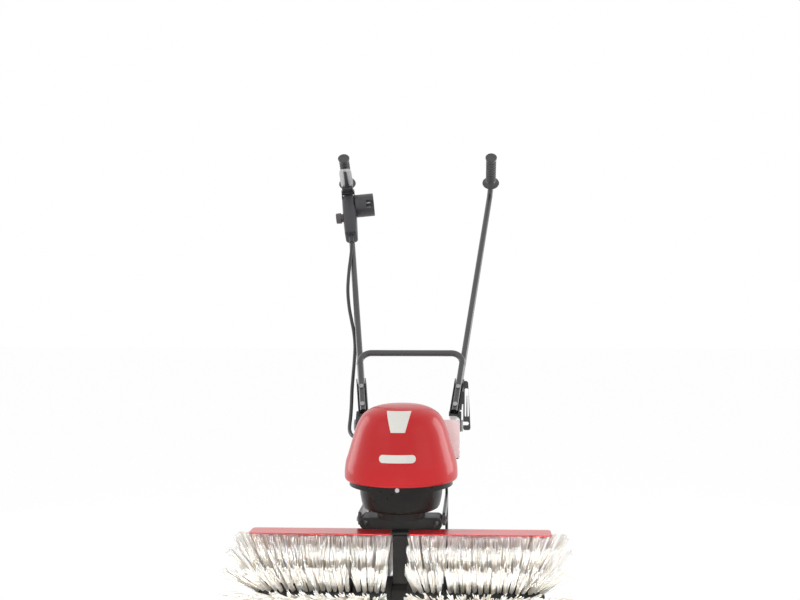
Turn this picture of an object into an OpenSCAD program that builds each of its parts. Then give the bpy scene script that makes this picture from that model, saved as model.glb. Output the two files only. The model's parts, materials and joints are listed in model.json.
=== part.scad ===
// Walk-behind power brush sweeper, millimetres.
// The photo looks along +Y, X is to its right, Z is up and the floor is z = 0.

/* [Brush] */
// Outer diameter over the bristle tips
brush_diameter = 292; // [270:1:310]
// Diameter of the ring that the bristles stand in
backing_diameter = 108; // [100:1:116]
// Thickness of that ring
backing_wall = 6; // [5:0.5:8]
// Distance from the middle to the inner end of the brush
brush_start = 16.5; // [16:0.25:20]
// Where the two bristle modules of a side meet
module_split = 100; // [90:1:120]
// Slot between two modules
module_slot = 4; // [3:0.5:8]
// Outer end of the brush hub
hub_end = 308; // [280:1:320]
// Radius of one strand
strand_radius = 2; // [1.5:0.1:2.4]
// Strands around one row
strands_round = 16; // [12:1:18]
// Diameter of the drive shaft
shaft_diameter = 17; // [15:0.5:20]

/* [Gearbox] */
// Half the width of the slim column
column_half = 15; // [14:0.25:16]
// Half the width of the gear drum
drum_half = 22; // [20:0.5:24]
// Radius of the gear drum
drum_radius = 45; // [44:0.5:46]
// Gear module of worm and wheel
gear_module = 2; // [1.8:0.1:2.2]
// Teeth of the worm wheel
wheel_teeth = 20; // [18:1:22]
// Pitch diameter of the worm
worm_pitch = 18; // [17:0.5:20]

/* [Crossbeam and fenders] */
// Height of the fender top above the floor
fender_top = 298; // [290:1:320]
// Sheet thickness of the fenders
fender_sheet = 2.5; // [2:0.5:4]
// Distance from the middle to the outer fender end
fender_reach = 322; // [290:1:340]
// Front edge of the fender, ahead of the brush axis
fender_front = 27; // [22:1:60]
// Length of the crossbeam
beam_length = 178; // [170:1:190]
// Height of the crossbeam
beam_height = 25; // [22:0.5:28]
// Front face of the crossbeam, behind the brush axis
beam_front = 14; // [12:0.5:18]
// Depth of the crossbeam
beam_depth = 56; // [50:1:60]
// Distance between the two attachment holes
hitch_spacing = 154; // [140:1:156]
// Diameter of the attachment holes
hitch_hole = 11; // [9:0.5:13]

/* [Motor] */
// Height of the hood rim above the crossbeam top
rim_rise = 85; // [80:1:90]
// Radius of the hood
hood_radius = 122.5; // [115:0.5:126]
// Height of the hood
hood_height = 160; // [150:1:170]
// Wall of the hood
hood_wall = 3; // [2.5:0.5:4]
// Radius of the black rim band
band_radius = 112; // [105:0.5:114]
// Outer radius of the stator
stator_radius = 76; // [72:0.5:78]
// Radius of the stator bore
stator_bore = 46; // [44:0.5:48]
// Air gap between rotor and stator
air_gap = 0.5; // [0.4:0.1:0.8]

/* [Frame and wheels] */
// Distance of the wheel axle behind the brush axis
axle_back = 262; // [255:1:280]
// Wheel diameter
wheel_diameter = 160; // [140:1:170]
// Wheel width
wheel_width = 35; // [30:1:40]
// Height of the handle pivot
pivot_height = 489; // [485:1:495]
// Diameter of the pivot rod
pivot_diameter = 16; // [14:0.5:18]
// Reach of the rear cover to the left of the middle
cover_left = 94; // [92:1:98]
// Reach of the rear cover to the right of the middle
cover_right = 125; // [118:1:126]
// Depth of the rear cover
cover_depth = 68; // [60:1:80]
// Height of the rear cover
cover_height = 87; // [80:1:95]
// Drop from the handle pivot to the floor of the cover
cover_drop = 59; // [55:1:65]

/* [Handlebar] */
// Lean of the tubes away from vertical
lean = 37; // [34:0.5:40]
// Outward spread of each tube
spread = 7.3; // [6:0.1:8.5]
// Half the distance between the channels
channel_half = 115.5; // [113:0.5:120]
// Diameter of the handlebar tubes
tube_diameter = 16; // [15:0.5:18]
// Wall of the tubes
tube_wall = 1.8; // [1.5:0.1:2.5]
// Length of a tube from channel middle to grip axis
tube_length = 702; // [680:1:720]
// Bend radius under the grip
bend_radius = 28; // [26:1:32]
// Height of the carrying bow above the channel middle
bow_rise = 127; // [120:1:140]
// Corner radius of the carrying bow
bow_corner = 28; // [24:1:32]
// Length of a grip from guard to end disc
grip_length = 105; // [98:1:112]
// Diameter of a grip
grip_diameter = 28; // [26:0.5:30]
// Diameter of the grip guard
guard_diameter = 48; // [44:1:52]

/* [Switch] */
// Width of the switch box
box_width = 37; // [35:0.5:40]
// Length of the switch box
box_length = 157; // [145:1:165]
// Outer diameter of the plug inlet shroud
inlet_diameter = 64; // [58:1:68]
// Length of the plug inlet shroud
inlet_length = 51; // [46:1:54]
// Distance between the two plug pins
pin_spacing = 19; // [18:0.5:20]
// Diameter of the cable
cable_diameter = 9; // [8:0.5:10]

/* [Hidden] */
$fn = 48;
// Running fit of a shaft and seat fit inside one body, on the radius
run_gap = 0.05;
seat_gap = 0.05;
eps = 0.01;
leg_step = 0.3;
bolt_flat = 1;
brush_r = brush_diameter / 2;
axis_z = brush_r;
back_r = backing_diameter / 2;
ring_r = back_r - backing_wall;
shaft_r = shaft_diameter / 2;
wheel_pitch_r = gear_module * wheel_teeth / 2;
worm_pitch_r = worm_pitch / 2;
worm_y = wheel_pitch_r + worm_pitch_r;
worm_tip = worm_pitch_r + gear_module;
worm_lead = PI * gear_module;
lead_angle = atan(gear_module / worm_pitch);
worm_half = 16;
worm_bore = 4;
column_shaft_r = 6;
bearing_r = 17.5;
bearing_in = 8;
bearing_out = 18;
seal_r = 14;
fender_bottom = fender_top - fender_sheet;
beam_top = fender_top + beam_height;
beam_back = beam_front + beam_depth;
hitch_z = fender_top + beam_height / 2;
floor_z = beam_top + 33;
rim_z = beam_top + rim_rise;
band_low = rim_z - 13;
bowl_low = beam_top + 20;
stator_low = rim_z - 8;
stator_high = stator_low + 60;
shield_z = stator_high + 30;
fan_z = shield_z + 16;
rotor_r = stator_bore - air_gap;
main_r = 10;
mid_seat_r = 8.5;
top_seat_r = 7.5;
fan_seat_r = 6;
top_bearing_r = 16;
post_ring = 68;
post_r = 7;
tie_r = 3;
screw_r = 2.5;
skirt_r = band_radius - 5;
cover_front = worm_y + hood_radius + 2;
cover_back = cover_front + cover_depth;
cover_low = pivot_height - cover_drop;
cover_top = cover_low + cover_height;
gland_y = cover_front + 32.5;
gland_r = 8;
gland_z = cover_low + 37;
gland_turn = 134;
cover_bolts = [-80, 104];
arm_in = beam_length / 2;
arm_out = arm_in + 6;
pivot_y = axle_back;
pivot_r = pivot_diameter / 2;
lug_in = arm_out + 2;
lug_out = lug_in + 30;
nut_high = 4;
hook_gap = 0.5;
hook_x = lug_out + nut_high + hook_gap;
wheel_r = wheel_diameter / 2;
wheel_in = arm_out + 4;
wheel_out = wheel_in + wheel_width;
axle_r = 10;
tube_r = tube_diameter / 2;
stack = tube_diameter + 1;
channel_inner = tube_diameter + 3;
channel_sheet = 2.2;
channel_outer = channel_inner + 2 * channel_sheet;
channel_deep = 28;
channel_low = -50;
channel_high = 52;
pivot_drop = 70;
middle_y = pivot_y + pivot_drop * sin(lean);
middle_z = pivot_height + pivot_drop * cos(lean);
grip_r = grip_diameter / 2;
guard_at = bend_radius + 3;
grip_end = guard_at + grip_length;
box_high = tube_length - guard_diameter / 2 - 4;
box_low = box_high - box_length;
box_front = 40;
box_back = 14;
inlet_mid = box_high - 45;
inlet_n = 14;
button_mid = box_high - 92;
button_n = 16;
button_r = 15;
lever_at = box_high - 8;
lever_gap = 13;
hook_n = -10;
reach_y = sin(lean) * cos(spread);
back_y = middle_y + reach_y * (tube_length - bend_radius) - cos(lean) * bend_radius
    + (bend_radius + tube_r) * sqrt(reach_y * reach_y + cos(lean) * cos(lean));
// The origin is the middle of the footprint
shift_y = -(back_y - brush_r) / 2;

// Outline of the hood: radius, and height above its rim as a share of the hood height
hood_shape = [
    [0.955, 0], [0.982, 0.035], [0.998, 0.09], [1, 0.14], [0.99, 0.2], [0.97, 0.26], [0.947, 0.3125],
    [0.925, 0.37], [0.9, 0.435], [0.873, 0.505], [0.845, 0.575], [0.818, 0.645], [0.785, 0.715],
    [0.738, 0.79], [0.675, 0.86], [0.6, 0.908], [0.49, 0.952], [0.36, 0.98], [0.2, 0.994], [0, 1]
];

function hood_points(off) =
    [for (p = hood_shape) [max(0, p[0] * hood_radius + (p[0] > 0 ? off : 0)), p[1] * hood_height]];

module place() {
    translate([0, shift_y, 0])
        children();
}

module rod_x(r, x0, x1, y, z) {
    translate([x0, y, z])
        rotate([0, 90, 0])
            cylinder(r = r, h = x1 - x0);
}

module rod_y(r, x, y0, y1, z) {
    translate([x, y0, z])
        rotate([-90, 0, 0])
            cylinder(r = r, h = y1 - y0);
}

module rod_z(r, x, y, z0, z1) {
    translate([x, y, z0])
        cylinder(r = r, h = z1 - z0);
}

// Extrudes a drawing in Y and Z along X
module across(x0, x1) {
    translate([x0, 0, 0])
        rotate([90, 0, 90])
            linear_extrude(x1 - x0)
                children();
}

// Extrudes a drawing in X and Z along Y
module along(y0, y1) {
    translate([0, y1, 0])
        rotate([90, 0, 0])
            linear_extrude(y1 - y0)
                children();
}

// Rectangle from a corner with four round corners
module round_rect(x0, y0, x1, y1, r) {
    translate([x0 + r, y0])
        square([x1 - x0 - 2 * r, y1 - y0]);
    translate([x0, y0 + r])
        square([x1 - x0, y1 - y0 - 2 * r]);
    for (x = [x0 + r, x1 - r])
        for (y = [y0 + r, y1 - r])
            translate([x, y])
                circle(r);
}

// Turns the drawing in radius and height about the motor axis
module turned(z) {
    translate([0, worm_y, z])
        rotate_extrude($fn = 96)
            children();
}

// Local frame of one handlebar side: Z up the tube, -Y towards the front, X outwards on the right
module side_frame(side) {
    translate([side * channel_half, middle_y, middle_z])
        rotate([-lean, 0, 0])
            rotate([0, side * spread, 0])
                children();
}

// Frame shared by both sides: Z up the lean, -Y towards the front
module lean_frame() {
    translate([0, middle_y, middle_z])
        rotate([-lean, 0, 0])
            children();
}

module hex_head(r, h) {
    cylinder(r = r, h = h, $fn = 6);
}

/* Gearbox */

drum_bolts = [[-26, 26], [-26, -26], [0, -37], [0, 37]];
column_bolts = [[-7, 262]];
top_bolts = [[10, 19], [10, 44]];

module case_solid() {
    across(-drum_half, drum_half)
        translate([0, axis_z])
            circle(drum_radius);
    across(-column_half, column_half)
        round_rect(-14, axis_z - 40, 50, fender_bottom - 2, 8);
    across(-column_half - 3.5, column_half + 3.5)
        translate([-14, fender_bottom - 2])
            square([64, fender_sheet + 2]);
}

module case_hollow() {
    rod_x(wheel_pitch_r + gear_module + 2, -bearing_in, bearing_in, 0, axis_z);
    rod_x(bearing_r, bearing_in - eps, bearing_out, 0, axis_z);
    rod_x(bearing_r, -bearing_out, -bearing_in + eps, 0, axis_z);
    rod_x(seal_r, -drum_half - 1, drum_half + 1, 0, axis_z);
    rod_z(worm_tip + 1, 0, worm_y, axis_z - worm_half - 2, axis_z + worm_half + 2);
    rod_z(11, 0, worm_y, axis_z - worm_half - 9, axis_z - worm_half);
    rod_z(column_shaft_r + 2, 0, worm_y, axis_z, fender_top + 1);
    for (b = drum_bolts) {
        rod_x(3.1, -drum_half - 1, drum_half + 1, b[0], axis_z + b[1]);
    }
    for (b = column_bolts) {
        rod_x(3.1, -column_half - 1, column_half + 1, b[0], b[1]);
        rod_x(5.3, column_half - 5, column_half + 1, b[0], b[1]);
        rod_x(5.3, -column_half - 1, -column_half + 5, b[0], b[1]);
    }
    for (b = top_bolts)
        for (s = [-1, 1])
            rod_z(2.6, s * b[0], b[1], fender_top - 26, fender_top + 1);
}

module gearbox_left() {
    color([0.09, 0.09, 0.1])
        difference() {
            case_solid();
            case_hollow();
            translate([0, -100, 0])
                cube([100, 300, 400]);
        }
}

module gearbox_right() {
    color([0.09, 0.09, 0.1])
        difference() {
            case_solid();
            case_hollow();
            translate([-100, -100, 0])
                cube([100, 300, 400]);
        }
}

module case_bolts() {
    color([0.35, 0.35, 0.37]) {
        for (b = drum_bolts) {
            rod_x(3, -drum_half, drum_half, b[0], axis_z + b[1]);
            rod_x(5, drum_half, drum_half + 3, b[0], axis_z + b[1]);
            rod_x(5, -drum_half - 3, -drum_half, b[0], axis_z + b[1]);
        }
        for (b = column_bolts) {
            rod_x(3, -column_half + 5, column_half - 5, b[0], b[1]);
            rod_x(5, column_half - 5, column_half - 0.5, b[0], b[1]);
            rod_x(5, -column_half + 0.5, -column_half + 5, b[0], b[1]);
        }
    }
}

/* Crossbeam and fenders */

fender_bolts = [[40, 42], [66, 42]];
arm_bolts = [beam_back - 22, beam_back - 8];
neck_bolts = [[30, 22], [30, 58]];

module crossbeam() {
    color([0.08, 0.08, 0.09])
        difference() {
            along(beam_front, beam_back)
                round_rect(-beam_length / 2, fender_top, beam_length / 2, beam_top, 11);
            rod_z(column_shaft_r + 3, 0, worm_y, fender_top - 1, beam_top + 1);
            for (s = [-1, 1]) {
                rod_y(hitch_hole / 2, s * hitch_spacing / 2, beam_front - 1, beam_back + 1, hitch_z);
                rod_y(hitch_hole / 2 + 3, s * hitch_spacing / 2, beam_front - 1, beam_front + 2, hitch_z);
                for (b = fender_bolts)
                    rod_z(3.1, s * b[0], b[1], fender_top - 1, fender_top + 16);
                for (b = neck_bolts)
                    rod_z(3.1, s * b[0], b[1], beam_top - 16, beam_top + 1);
                for (y = arm_bolts)
                    rod_x(3.1, s > 0 ? arm_in - 5 : -arm_in - 1, s > 0 ? arm_in + 1 : -arm_in + 5, y, fender_top + 14);
                for (b = top_bolts) {
                    rod_z(2.6, s * b[0], b[1], fender_top - 1, beam_top + 1);
                    rod_z(4.6, s * b[0], b[1], beam_top - 6, beam_top + 1);
                }
            }
        }
}

module frame_bolts() {
    color([0.4, 0.4, 0.42])
        for (s = [-1, 1]) {
            for (b = fender_bolts) {
                rod_z(3, s * b[0], b[1], fender_bottom, fender_top + 15);
                translate([s * b[0], b[1], fender_bottom - 2.4])
                    hex_head(5, 2.4);
            }
            for (b = neck_bolts) {
                rod_z(3, s * b[0], b[1], beam_top - 15, floor_z);
                translate([s * b[0], b[1], floor_z])
                    hex_head(5.5, 4);
            }
            for (y = arm_bolts)
                translate([s * (arm_in - 4), y, fender_top + 14])
                    rotate([0, s * 90, 0]) {
                        cylinder(r = 3, h = 10);
                        translate([0, 0, 10])
                            hex_head(5, 4);
                    }
            for (b = top_bolts) {
                rod_z(2.5, s * b[0], b[1], fender_top - 25, beam_top - 5);
                rod_z(4.4, s * b[0], b[1], beam_top - 6, beam_top - 1);
            }
        }
}

module fender(side) {
    color([0.72, 0.09, 0.1])
        difference() {
            translate([0, 0, fender_bottom])
                linear_extrude(fender_sheet)
                    union() {
                        mirror([side < 0 ? 1 : 0, 0])
                            round_rect(column_half + 4, -fender_front, fender_reach, 22, 8);
                        mirror([side < 0 ? 1 : 0, 0])
                            round_rect(column_half + 4, 0, beam_length / 2 - 4, beam_back - 6, 5);
                    }
            for (b = fender_bolts)
                rod_z(3.1, side * b[0], b[1], fender_bottom - 1, fender_top + 1);
        }
}

module fender_left() {
    fender(-1);
}

module fender_right() {
    fender(1);
}

/* Motor */

module motor_base() {
    color([0.1, 0.1, 0.11])
        difference() {
            union() {
                turned(0)
                    polygon([
                        [0, beam_top], [52, beam_top], [52, bowl_low], [76, bowl_low],
                        [80.5, bowl_low + 2.5], [83.5, bowl_low + 7], [85.5, bowl_low + 14],
                        [88.5, bowl_low + 29], [91, band_low], [band_radius, band_low], [band_radius, rim_z],
                        [skirt_r + 0.5, rim_z], [skirt_r + 0.5, band_low + 5], [86, band_low + 5],
                        [84, band_low], [62, floor_z], [0, floor_z]
                    ]);
                for (a = [45, 135, 225, 315])
                    rod_z(post_r, post_ring * cos(a), worm_y + post_ring * sin(a), bowl_low + 24, stator_low);
            }
            rod_z(column_shaft_r + 3, 0, worm_y, beam_top - 1, floor_z + 1);
            rod_z(bearing_r, 0, worm_y, floor_z - 10, floor_z + 1);
            for (s = [-1, 1])
                for (b = neck_bolts)
                    rod_z(3.1, s * b[0], b[1], beam_top - 1, floor_z + 1);
            for (a = [45, 135, 225, 315])
                rod_z(tie_r + 0.1, post_ring * cos(a), worm_y + post_ring * sin(a), stator_low - 20, stator_low + 1);
            for (a = [-90, 30, 150])
                translate([0, worm_y, band_low + 7])
                    rotate([0, 90, a])
                        cylinder(r = screw_r + 0.3, h = band_radius + 2);
        }
}

module hood() {
    color([0.75, 0.08, 0.1])
        difference() {
            union() {
                turned(rim_z)
                    polygon(concat([[0, 0]], hood_points(0)));
                turned(rim_z)
                    translate([skirt_r - 3, -7.5])
                        square([3, 7.5 + eps]);
            }
            turned(rim_z)
                polygon(concat(
                    [[0, -20], [skirt_r - 3, -20], [skirt_r - 3, 4]],
                    [for (i = [1 : 18])
                        [max(0, hood_points(-hood_wall)[i][0]), hood_points(0)[i][1] - 1 - i * 0.11]],
                    [[0, hood_height - hood_wall]]
                ));
            for (a = [-90, 30, 150])
                translate([0, worm_y, band_low + 7])
                    rotate([0, 90, a])
                        cylinder(r = screw_r + 0.3, h = skirt_r + 2);
        }
}

module hood_screws() {
    color([0.75, 0.75, 0.76])
        for (a = [-90, 30, 150])
            translate([0, worm_y, band_low + 7])
                rotate([0, 90, a]) {
                    translate([0, 0, skirt_r - 8])
                        cylinder(r = screw_r, h = band_radius - skirt_r + 9);
                    translate([0, 0, band_radius + 0.1])
                        cylinder(r = 4.5, h = 2.6);
                }
}

// Blank labels: thin shells that lie on the hood, cut to shape by a prism from the front
module badges() {
    color([0.8, 0.8, 0.8]) {
        intersection() {
            badge_shell();
            along(-200, worm_y - 20)
                polygon([
                    [-26, rim_z + 151], [26, rim_z + 151], [15, rim_z + 110], [-15, rim_z + 110]
                ]);
        }
        intersection() {
            badge_shell();
            along(-200, worm_y - 20)
                round_rect(-38, rim_z + 50, 38, rim_z + 66, 7.5);
        }
    }
}

module badge_shell() {
    outer = [for (i = [3 : 17]) [hood_points(0.7)[i][0], hood_points(0)[i][1] + i * 0.03]];
    inner = [for (i = [17 : -1 : 3]) [hood_points(0.05)[i][0], hood_points(0)[i][1] + 0.05]];
    turned(rim_z)
        polygon(concat(outer, inner));
}

module stator_core() {
    color([0.45, 0.46, 0.48])
        difference() {
            rod_z(stator_radius, 0, worm_y, stator_low, stator_high);
            rod_z(stator_bore, 0, worm_y, stator_low - 1, stator_high + 1);
            for (a = [45, 135, 225, 315])
                rod_z(tie_r + 0.1, post_ring * cos(a), worm_y + post_ring * sin(a), stator_low - 1, stator_high + 1);
            for (a = [0 : 15 : 345])
                translate([0, worm_y, 0])
                    rotate([0, 0, a])
                        translate([stator_bore - 2, -1.5, stator_low - 1])
                            cube([8, 3, 62]);
        }
}

module windings() {
    color([0.72, 0.38, 0.18]) {
        turned(stator_low)
            round_rect(stator_bore + 3, -14, stator_bore + 14, 0, 3);
        turned(stator_high)
            round_rect(stator_bore + 3, 0, stator_bore + 14, 14, 3);
    }
}

module end_shield() {
    color([0.6, 0.61, 0.63])
        difference() {
            union() {
                rod_z(stator_radius, 0, worm_y, shield_z, shield_z + 5);
                rod_z(22, 0, worm_y, shield_z - 6, shield_z + 6);
                for (a = [45, 135, 225, 315])
                    rod_z(5, post_ring * cos(a), worm_y + post_ring * sin(a), stator_high, shield_z + 1);
            }
            rod_z(top_bearing_r, 0, worm_y, shield_z - 7, shield_z + 3);
            rod_z(top_seat_r + 2, 0, worm_y, shield_z, shield_z + 7);
            for (a = [45, 135, 225, 315])
                rod_z(tie_r + 0.1, post_ring * cos(a), worm_y + post_ring * sin(a), stator_high - 1, shield_z + 7);
            for (a = [0 : 45 : 315])
                rod_z(9, 48 * cos(a), worm_y + 48 * sin(a), shield_z - 1, shield_z + 6);
        }
}

module stator_bolts() {
    color([0.4, 0.4, 0.42])
        for (a = [45, 135, 225, 315]) {
            rod_z(tie_r, post_ring * cos(a), worm_y + post_ring * sin(a), stator_low - 19, shield_z + 5);
            translate([post_ring * cos(a), worm_y + post_ring * sin(a), shield_z + 5])
                hex_head(5.5, 4);
        }
}

module bearing_ring(inner, outer, h) {
    difference() {
        cylinder(r = outer - seat_gap, h = h);
        translate([0, 0, -1])
            cylinder(r = inner + run_gap, h = h + 2);
    }
}

module brush_bearings() {
    color([0.7, 0.71, 0.73])
        for (x = [-bearing_out, bearing_in])
            translate([x, 0, axis_z])
                rotate([0, 90, 0])
                    bearing_ring(shaft_r, bearing_r, 10);
}

module motor_bearings() {
    color([0.7, 0.71, 0.73]) {
        translate([0, worm_y, axis_z - worm_half - 9])
            bearing_ring(worm_bore, 11, 7);
        translate([0, worm_y, floor_z - 10])
            bearing_ring(mid_seat_r, bearing_r, 10);
        translate([0, worm_y, shield_z - 6])
            bearing_ring(top_seat_r, top_bearing_r, 9);
    }
}

module shaft_seals() {
    color([0.12, 0.12, 0.12])
        for (x = [-drum_half, bearing_out])
            translate([x, 0, axis_z])
                rotate([0, 90, 0])
                    bearing_ring(shaft_r, seal_r, drum_half - bearing_out);
}

/* Rear cover */

module rear_cover() {
    color([0.78, 0.16, 0.17])
        difference() {
            union() {
                cover_shell();
                for (x = cover_bolts)
                    for (y = [cover_front + 2, cover_back - 20])
                        translate([x - 6, y, cover_low])
                            cube([12, 18, 14]);
            }
            for (x = cover_bolts)
                for (y = [cover_front + 14, cover_back - 14])
                    rod_z(2.1, x, y, cover_low - 1, cover_low + 9);
        }
}

module cover_shell() {
    difference() {
        along(cover_front, cover_back)
            difference() {
                round_rect(-cover_left, cover_low - 30, cover_right, cover_top, 14);
                translate([-200, cover_low - 60])
                    square([400, 60]);
            }
        along(cover_front + 3, cover_back - 3)
            difference() {
                round_rect(3 - cover_left, cover_low - 30, cover_right - 3, cover_top - 3, 11);
                translate([-200, cover_low - 60])
                    square([400, 60 - eps]);
            }
        for (i = [-3 : 3])
            translate([i * 24 - 3, cover_back - 4, cover_low + 24])
                cube([6, 8, 38]);
        gland_frame()
            translate([0, 0, -30])
                cylinder(r = gland_r + 0.1, h = 70);
    }
}

module cover_screws() {
    color([0.5, 0.5, 0.52])
        for (x = cover_bolts)
            for (y = [cover_front + 14, cover_back - 14]) {
                rod_z(2, x, y, cover_low - 3, cover_low + 8);
                rod_z(4, x, y, cover_low - 5.5, cover_low - 3);
            }
}

module capacitor() {
    color([0.75, 0.76, 0.78])
        rod_x(19, 16, 92, cover_front + 34, cover_low + 19);
}

module terminal_block() {
    color([0.85, 0.83, 0.76])
        difference() {
            translate([-72, cover_front + 22, cover_low])
                cube([56, 24, 22]);
            for (i = [0 : 3])
                rod_z(3, -65 + i * 14, cover_front + 34, cover_low + 12, cover_low + 24);
        }
}

module rear_frame() {
    color([0.07, 0.07, 0.08])
        difference() {
            union() {
                for (x = [-arm_out, arm_in])
                    across(x, x + 6) {
                        round_rect(beam_back - 34, fender_top + 3, pivot_y + 16, fender_top + 31, 6);
                        round_rect(pivot_y - 16, fender_top + 3, pivot_y + 16, pivot_height, 6);
                        translate([pivot_y, pivot_height])
                            circle(16);
                        round_rect(pivot_y - 22, wheel_r - 20, pivot_y + 22, fender_top + 31, 8);
                    }
                translate([0, 0, cover_low - 3])
                    linear_extrude(3) {
                        translate([3 - cover_left, cover_front + 1])
                            square([cover_left + cover_right - 6, cover_back - cover_front - 2]);
                        translate([-arm_in - 1, cover_back - 10])
                            square([2 * arm_in + 2, pivot_y + 14 - cover_back + 10]);
                    }
                rod_x(9, -arm_in - 1, arm_in + 1, pivot_y, wheel_r + 130);
            }
            rod_x(pivot_r + run_gap, -arm_out - 1, arm_out + 1, pivot_y, pivot_height);
            rod_x(axle_r + run_gap, -arm_out - 1, arm_out + 1, pivot_y, wheel_r);
            for (x = [-arm_out - 1, arm_in - 1])
                for (y = arm_bolts)
                    rod_x(3.1, x, x + 8, y, fender_top + 14);
            for (x = cover_bolts)
                for (y = [cover_front + 14, cover_back - 14])
                    rod_z(2.1, x, y, cover_low - 4, cover_low + 1);
        }
}

module wheel_axle() {
    color([0.6, 0.61, 0.63])
        rod_x(axle_r, -wheel_out - 8, wheel_out + 8, axle_back, wheel_r);
}

module axle_clips() {
    color([0.5, 0.5, 0.52])
        for (x = [-wheel_out - 6, wheel_out + 2])
            difference() {
                rod_x(axle_r + 5, x, x + 4, axle_back, wheel_r);
                rod_x(axle_r + seat_gap, x - 1, x + 5, axle_back, wheel_r);
            }
}

module rim(side) {
    lo = side > 0 ? wheel_in : -wheel_out;
    color([0.16, 0.16, 0.17])
        difference() {
            translate([lo, axle_back, wheel_r])
                rotate([0, 90, 0])
                    rotate_extrude($fn = 72)
                        polygon([
                            [axle_r + run_gap, 0], [18, 0], [18, 9], [wheel_r - 26, 9],
                            [wheel_r - 26, 2], [wheel_r - 20, 2], [wheel_r - 20, wheel_width - 2],
                            [wheel_r - 26, wheel_width - 2], [wheel_r - 26, wheel_width - 9],
                            [18, wheel_width - 9], [18, wheel_width], [axle_r + run_gap, wheel_width]
                        ]);
            for (a = [0 : 60 : 300])
                rod_x(8, lo - 1, lo + wheel_width + 1,
                    axle_back + (wheel_r - 44) * cos(a), wheel_r + (wheel_r - 44) * sin(a));
        }
}

module tyre(side) {
    lo = side > 0 ? wheel_in : -wheel_out;
    color([0.05, 0.05, 0.05])
        translate([lo, axle_back, wheel_r])
            rotate([0, 90, 0])
                rotate_extrude($fn = 72)
                    polygon([
                        [wheel_r - 20 + seat_gap, 1], [wheel_r - 8, 1], [wheel_r - 3, 4], [wheel_r, 9],
                        [wheel_r, wheel_width - 9], [wheel_r - 3, wheel_width - 4],
                        [wheel_r - 8, wheel_width - 1], [wheel_r - 20 + seat_gap, wheel_width - 1]
                    ]);
}

module rim_left() {
    rim(-1);
}

module tyre_left() {
    tyre(-1);
}

module rim_right() {
    rim(1);
}

module tyre_right() {
    tyre(1);
}

module pivot_rod() {
    color([0.6, 0.61, 0.63])
        rod_x(pivot_r, -lug_out - nut_high, lug_out + nut_high, pivot_y, pivot_height);
}

module pivot_nuts() {
    color([0.5, 0.5, 0.52])
        for (x = [-lug_out - nut_high, lug_out + 0.2])
            difference() {
                translate([x, pivot_y, pivot_height])
                    rotate([0, 90, 0])
                        hex_head(14, nut_high - 0.2);
                rod_x(pivot_r + seat_gap, x - 1, x + 9, pivot_y, pivot_height);
            }
}

// Slanted boot of the lead in the left wall of the cover
module gland_frame() {
    translate([-cover_left + 1.5, gland_y, gland_z])
        rotate([0, 90, gland_turn])
            children();
}

module cable_gland() {
    color([0.1, 0.1, 0.11])
        gland_frame()
            difference() {
                union() {
                    translate([0, 0, -8])
                        cylinder(r = gland_r, h = 28);
                    translate([0, 0, 20])
                        cylinder(r1 = gland_r, r2 = cable_diameter / 2 + 2, h = 16);
                }
                translate([0, 0, -9])
                    cylinder(r = cable_diameter / 2 + 1, h = 50);
            }
}

/* Brush */

module drive_shaft() {
    color([0.62, 0.63, 0.65])
        difference() {
            rod_x(shaft_r, -hub_end + 4, hub_end - 4, 0, axis_z);
            for (x = [-hub_end + 30, hub_end - 30])
                rod_z(4.1, x, 0, axis_z - 20, axis_z + 20);
        }
}

// Worm wheel: straight teeth set at the lead angle of the worm
module worm_wheel() {
    root = wheel_pitch_r - gear_module * 1.2;
    tip = wheel_pitch_r + gear_module * 0.9;
    color([0.72, 0.52, 0.22])
        difference() {
            union() {
                rod_x(root, -6.5, 6.5, 0, axis_z);
                for (i = [0 : wheel_teeth - 1])
                    translate([0, 0, axis_z])
                        rotate([i * 360 / wheel_teeth - 90, 0, 0])
                            rotate([0, 0, -lead_angle])
                                across(-5, 5)
                                    polygon([
                                        [-1.5, root - 1], [1.5, root - 1], [0.8, tip], [-0.8, tip]
                                    ]);
            }
            rod_x(shaft_r + seat_gap, -8, 8, 0, axis_z);
        }
}

module hub(side) {
    color([0.13, 0.13, 0.14])
        translate([0, 0, axis_z])
            rotate([0, side * 90, 0])
                difference() {
                    rotate_extrude($fn = 72)
                        polygon([
                            [shaft_r + seat_gap, 28], [ring_r - seat_gap, 28], [ring_r - seat_gap, 40],
                            [18, 40], [18, hub_end - 48], [ring_r - seat_gap, hub_end - 48],
                            [ring_r - seat_gap, hub_end - 12], [18, hub_end - 12], [18, hub_end],
                            [shaft_r + seat_gap, hub_end]
                        ]);
                    translate([0, 0, hub_end - 30])
                        rotate([0, 90, 0])
                            cylinder(r = 4.1, h = 200, center = true);
                }
}

module hub_left() {
    hub(-1);
}

module hub_right() {
    hub(1);
}

module hub_pins() {
    color([0.6, 0.61, 0.63])
        for (x = [-hub_end + 30, hub_end - 30])
            rod_z(4, x, 0, axis_z - ring_r + 2, axis_z + ring_r - 2);
}

strand_length = brush_r - back_r + 2 - 0.1;
inner_rows = [[24.5, -5.5], [43, -1.5], [62, 1.5], [83, 11]];
outer_rows = [
    [115, -4], [137, -3], [159, -1], [180, 0], [201, 1], [222, 4], [243, 11], [262, 24], [281, 40], [298, 57]
];

// One strand: a slim three-sided prism with triangle faces, leaning along X by the given amount
module strand(x, slide, angle) {
    rise = sqrt(strand_length * strand_length - slide * slide);
    low = back_r - 2;
    corner = [for (a = [90, 210, 330]) [strand_radius * cos(a), strand_radius * sin(a)]];
    points = concat(
        [for (c = corner) [x + c[0], c[1], low]],
        [for (c = corner) [x + slide + 0.7 * c[0], 0.7 * c[1], low + rise]]
    );
    rotate([angle, 0, 0])
        polyhedron(points, [
            [0, 1, 2], [5, 4, 3], [0, 3, 1], [1, 3, 4], [1, 4, 2], [2, 4, 5], [2, 5, 0], [0, 5, 3]
        ]);
}

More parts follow.
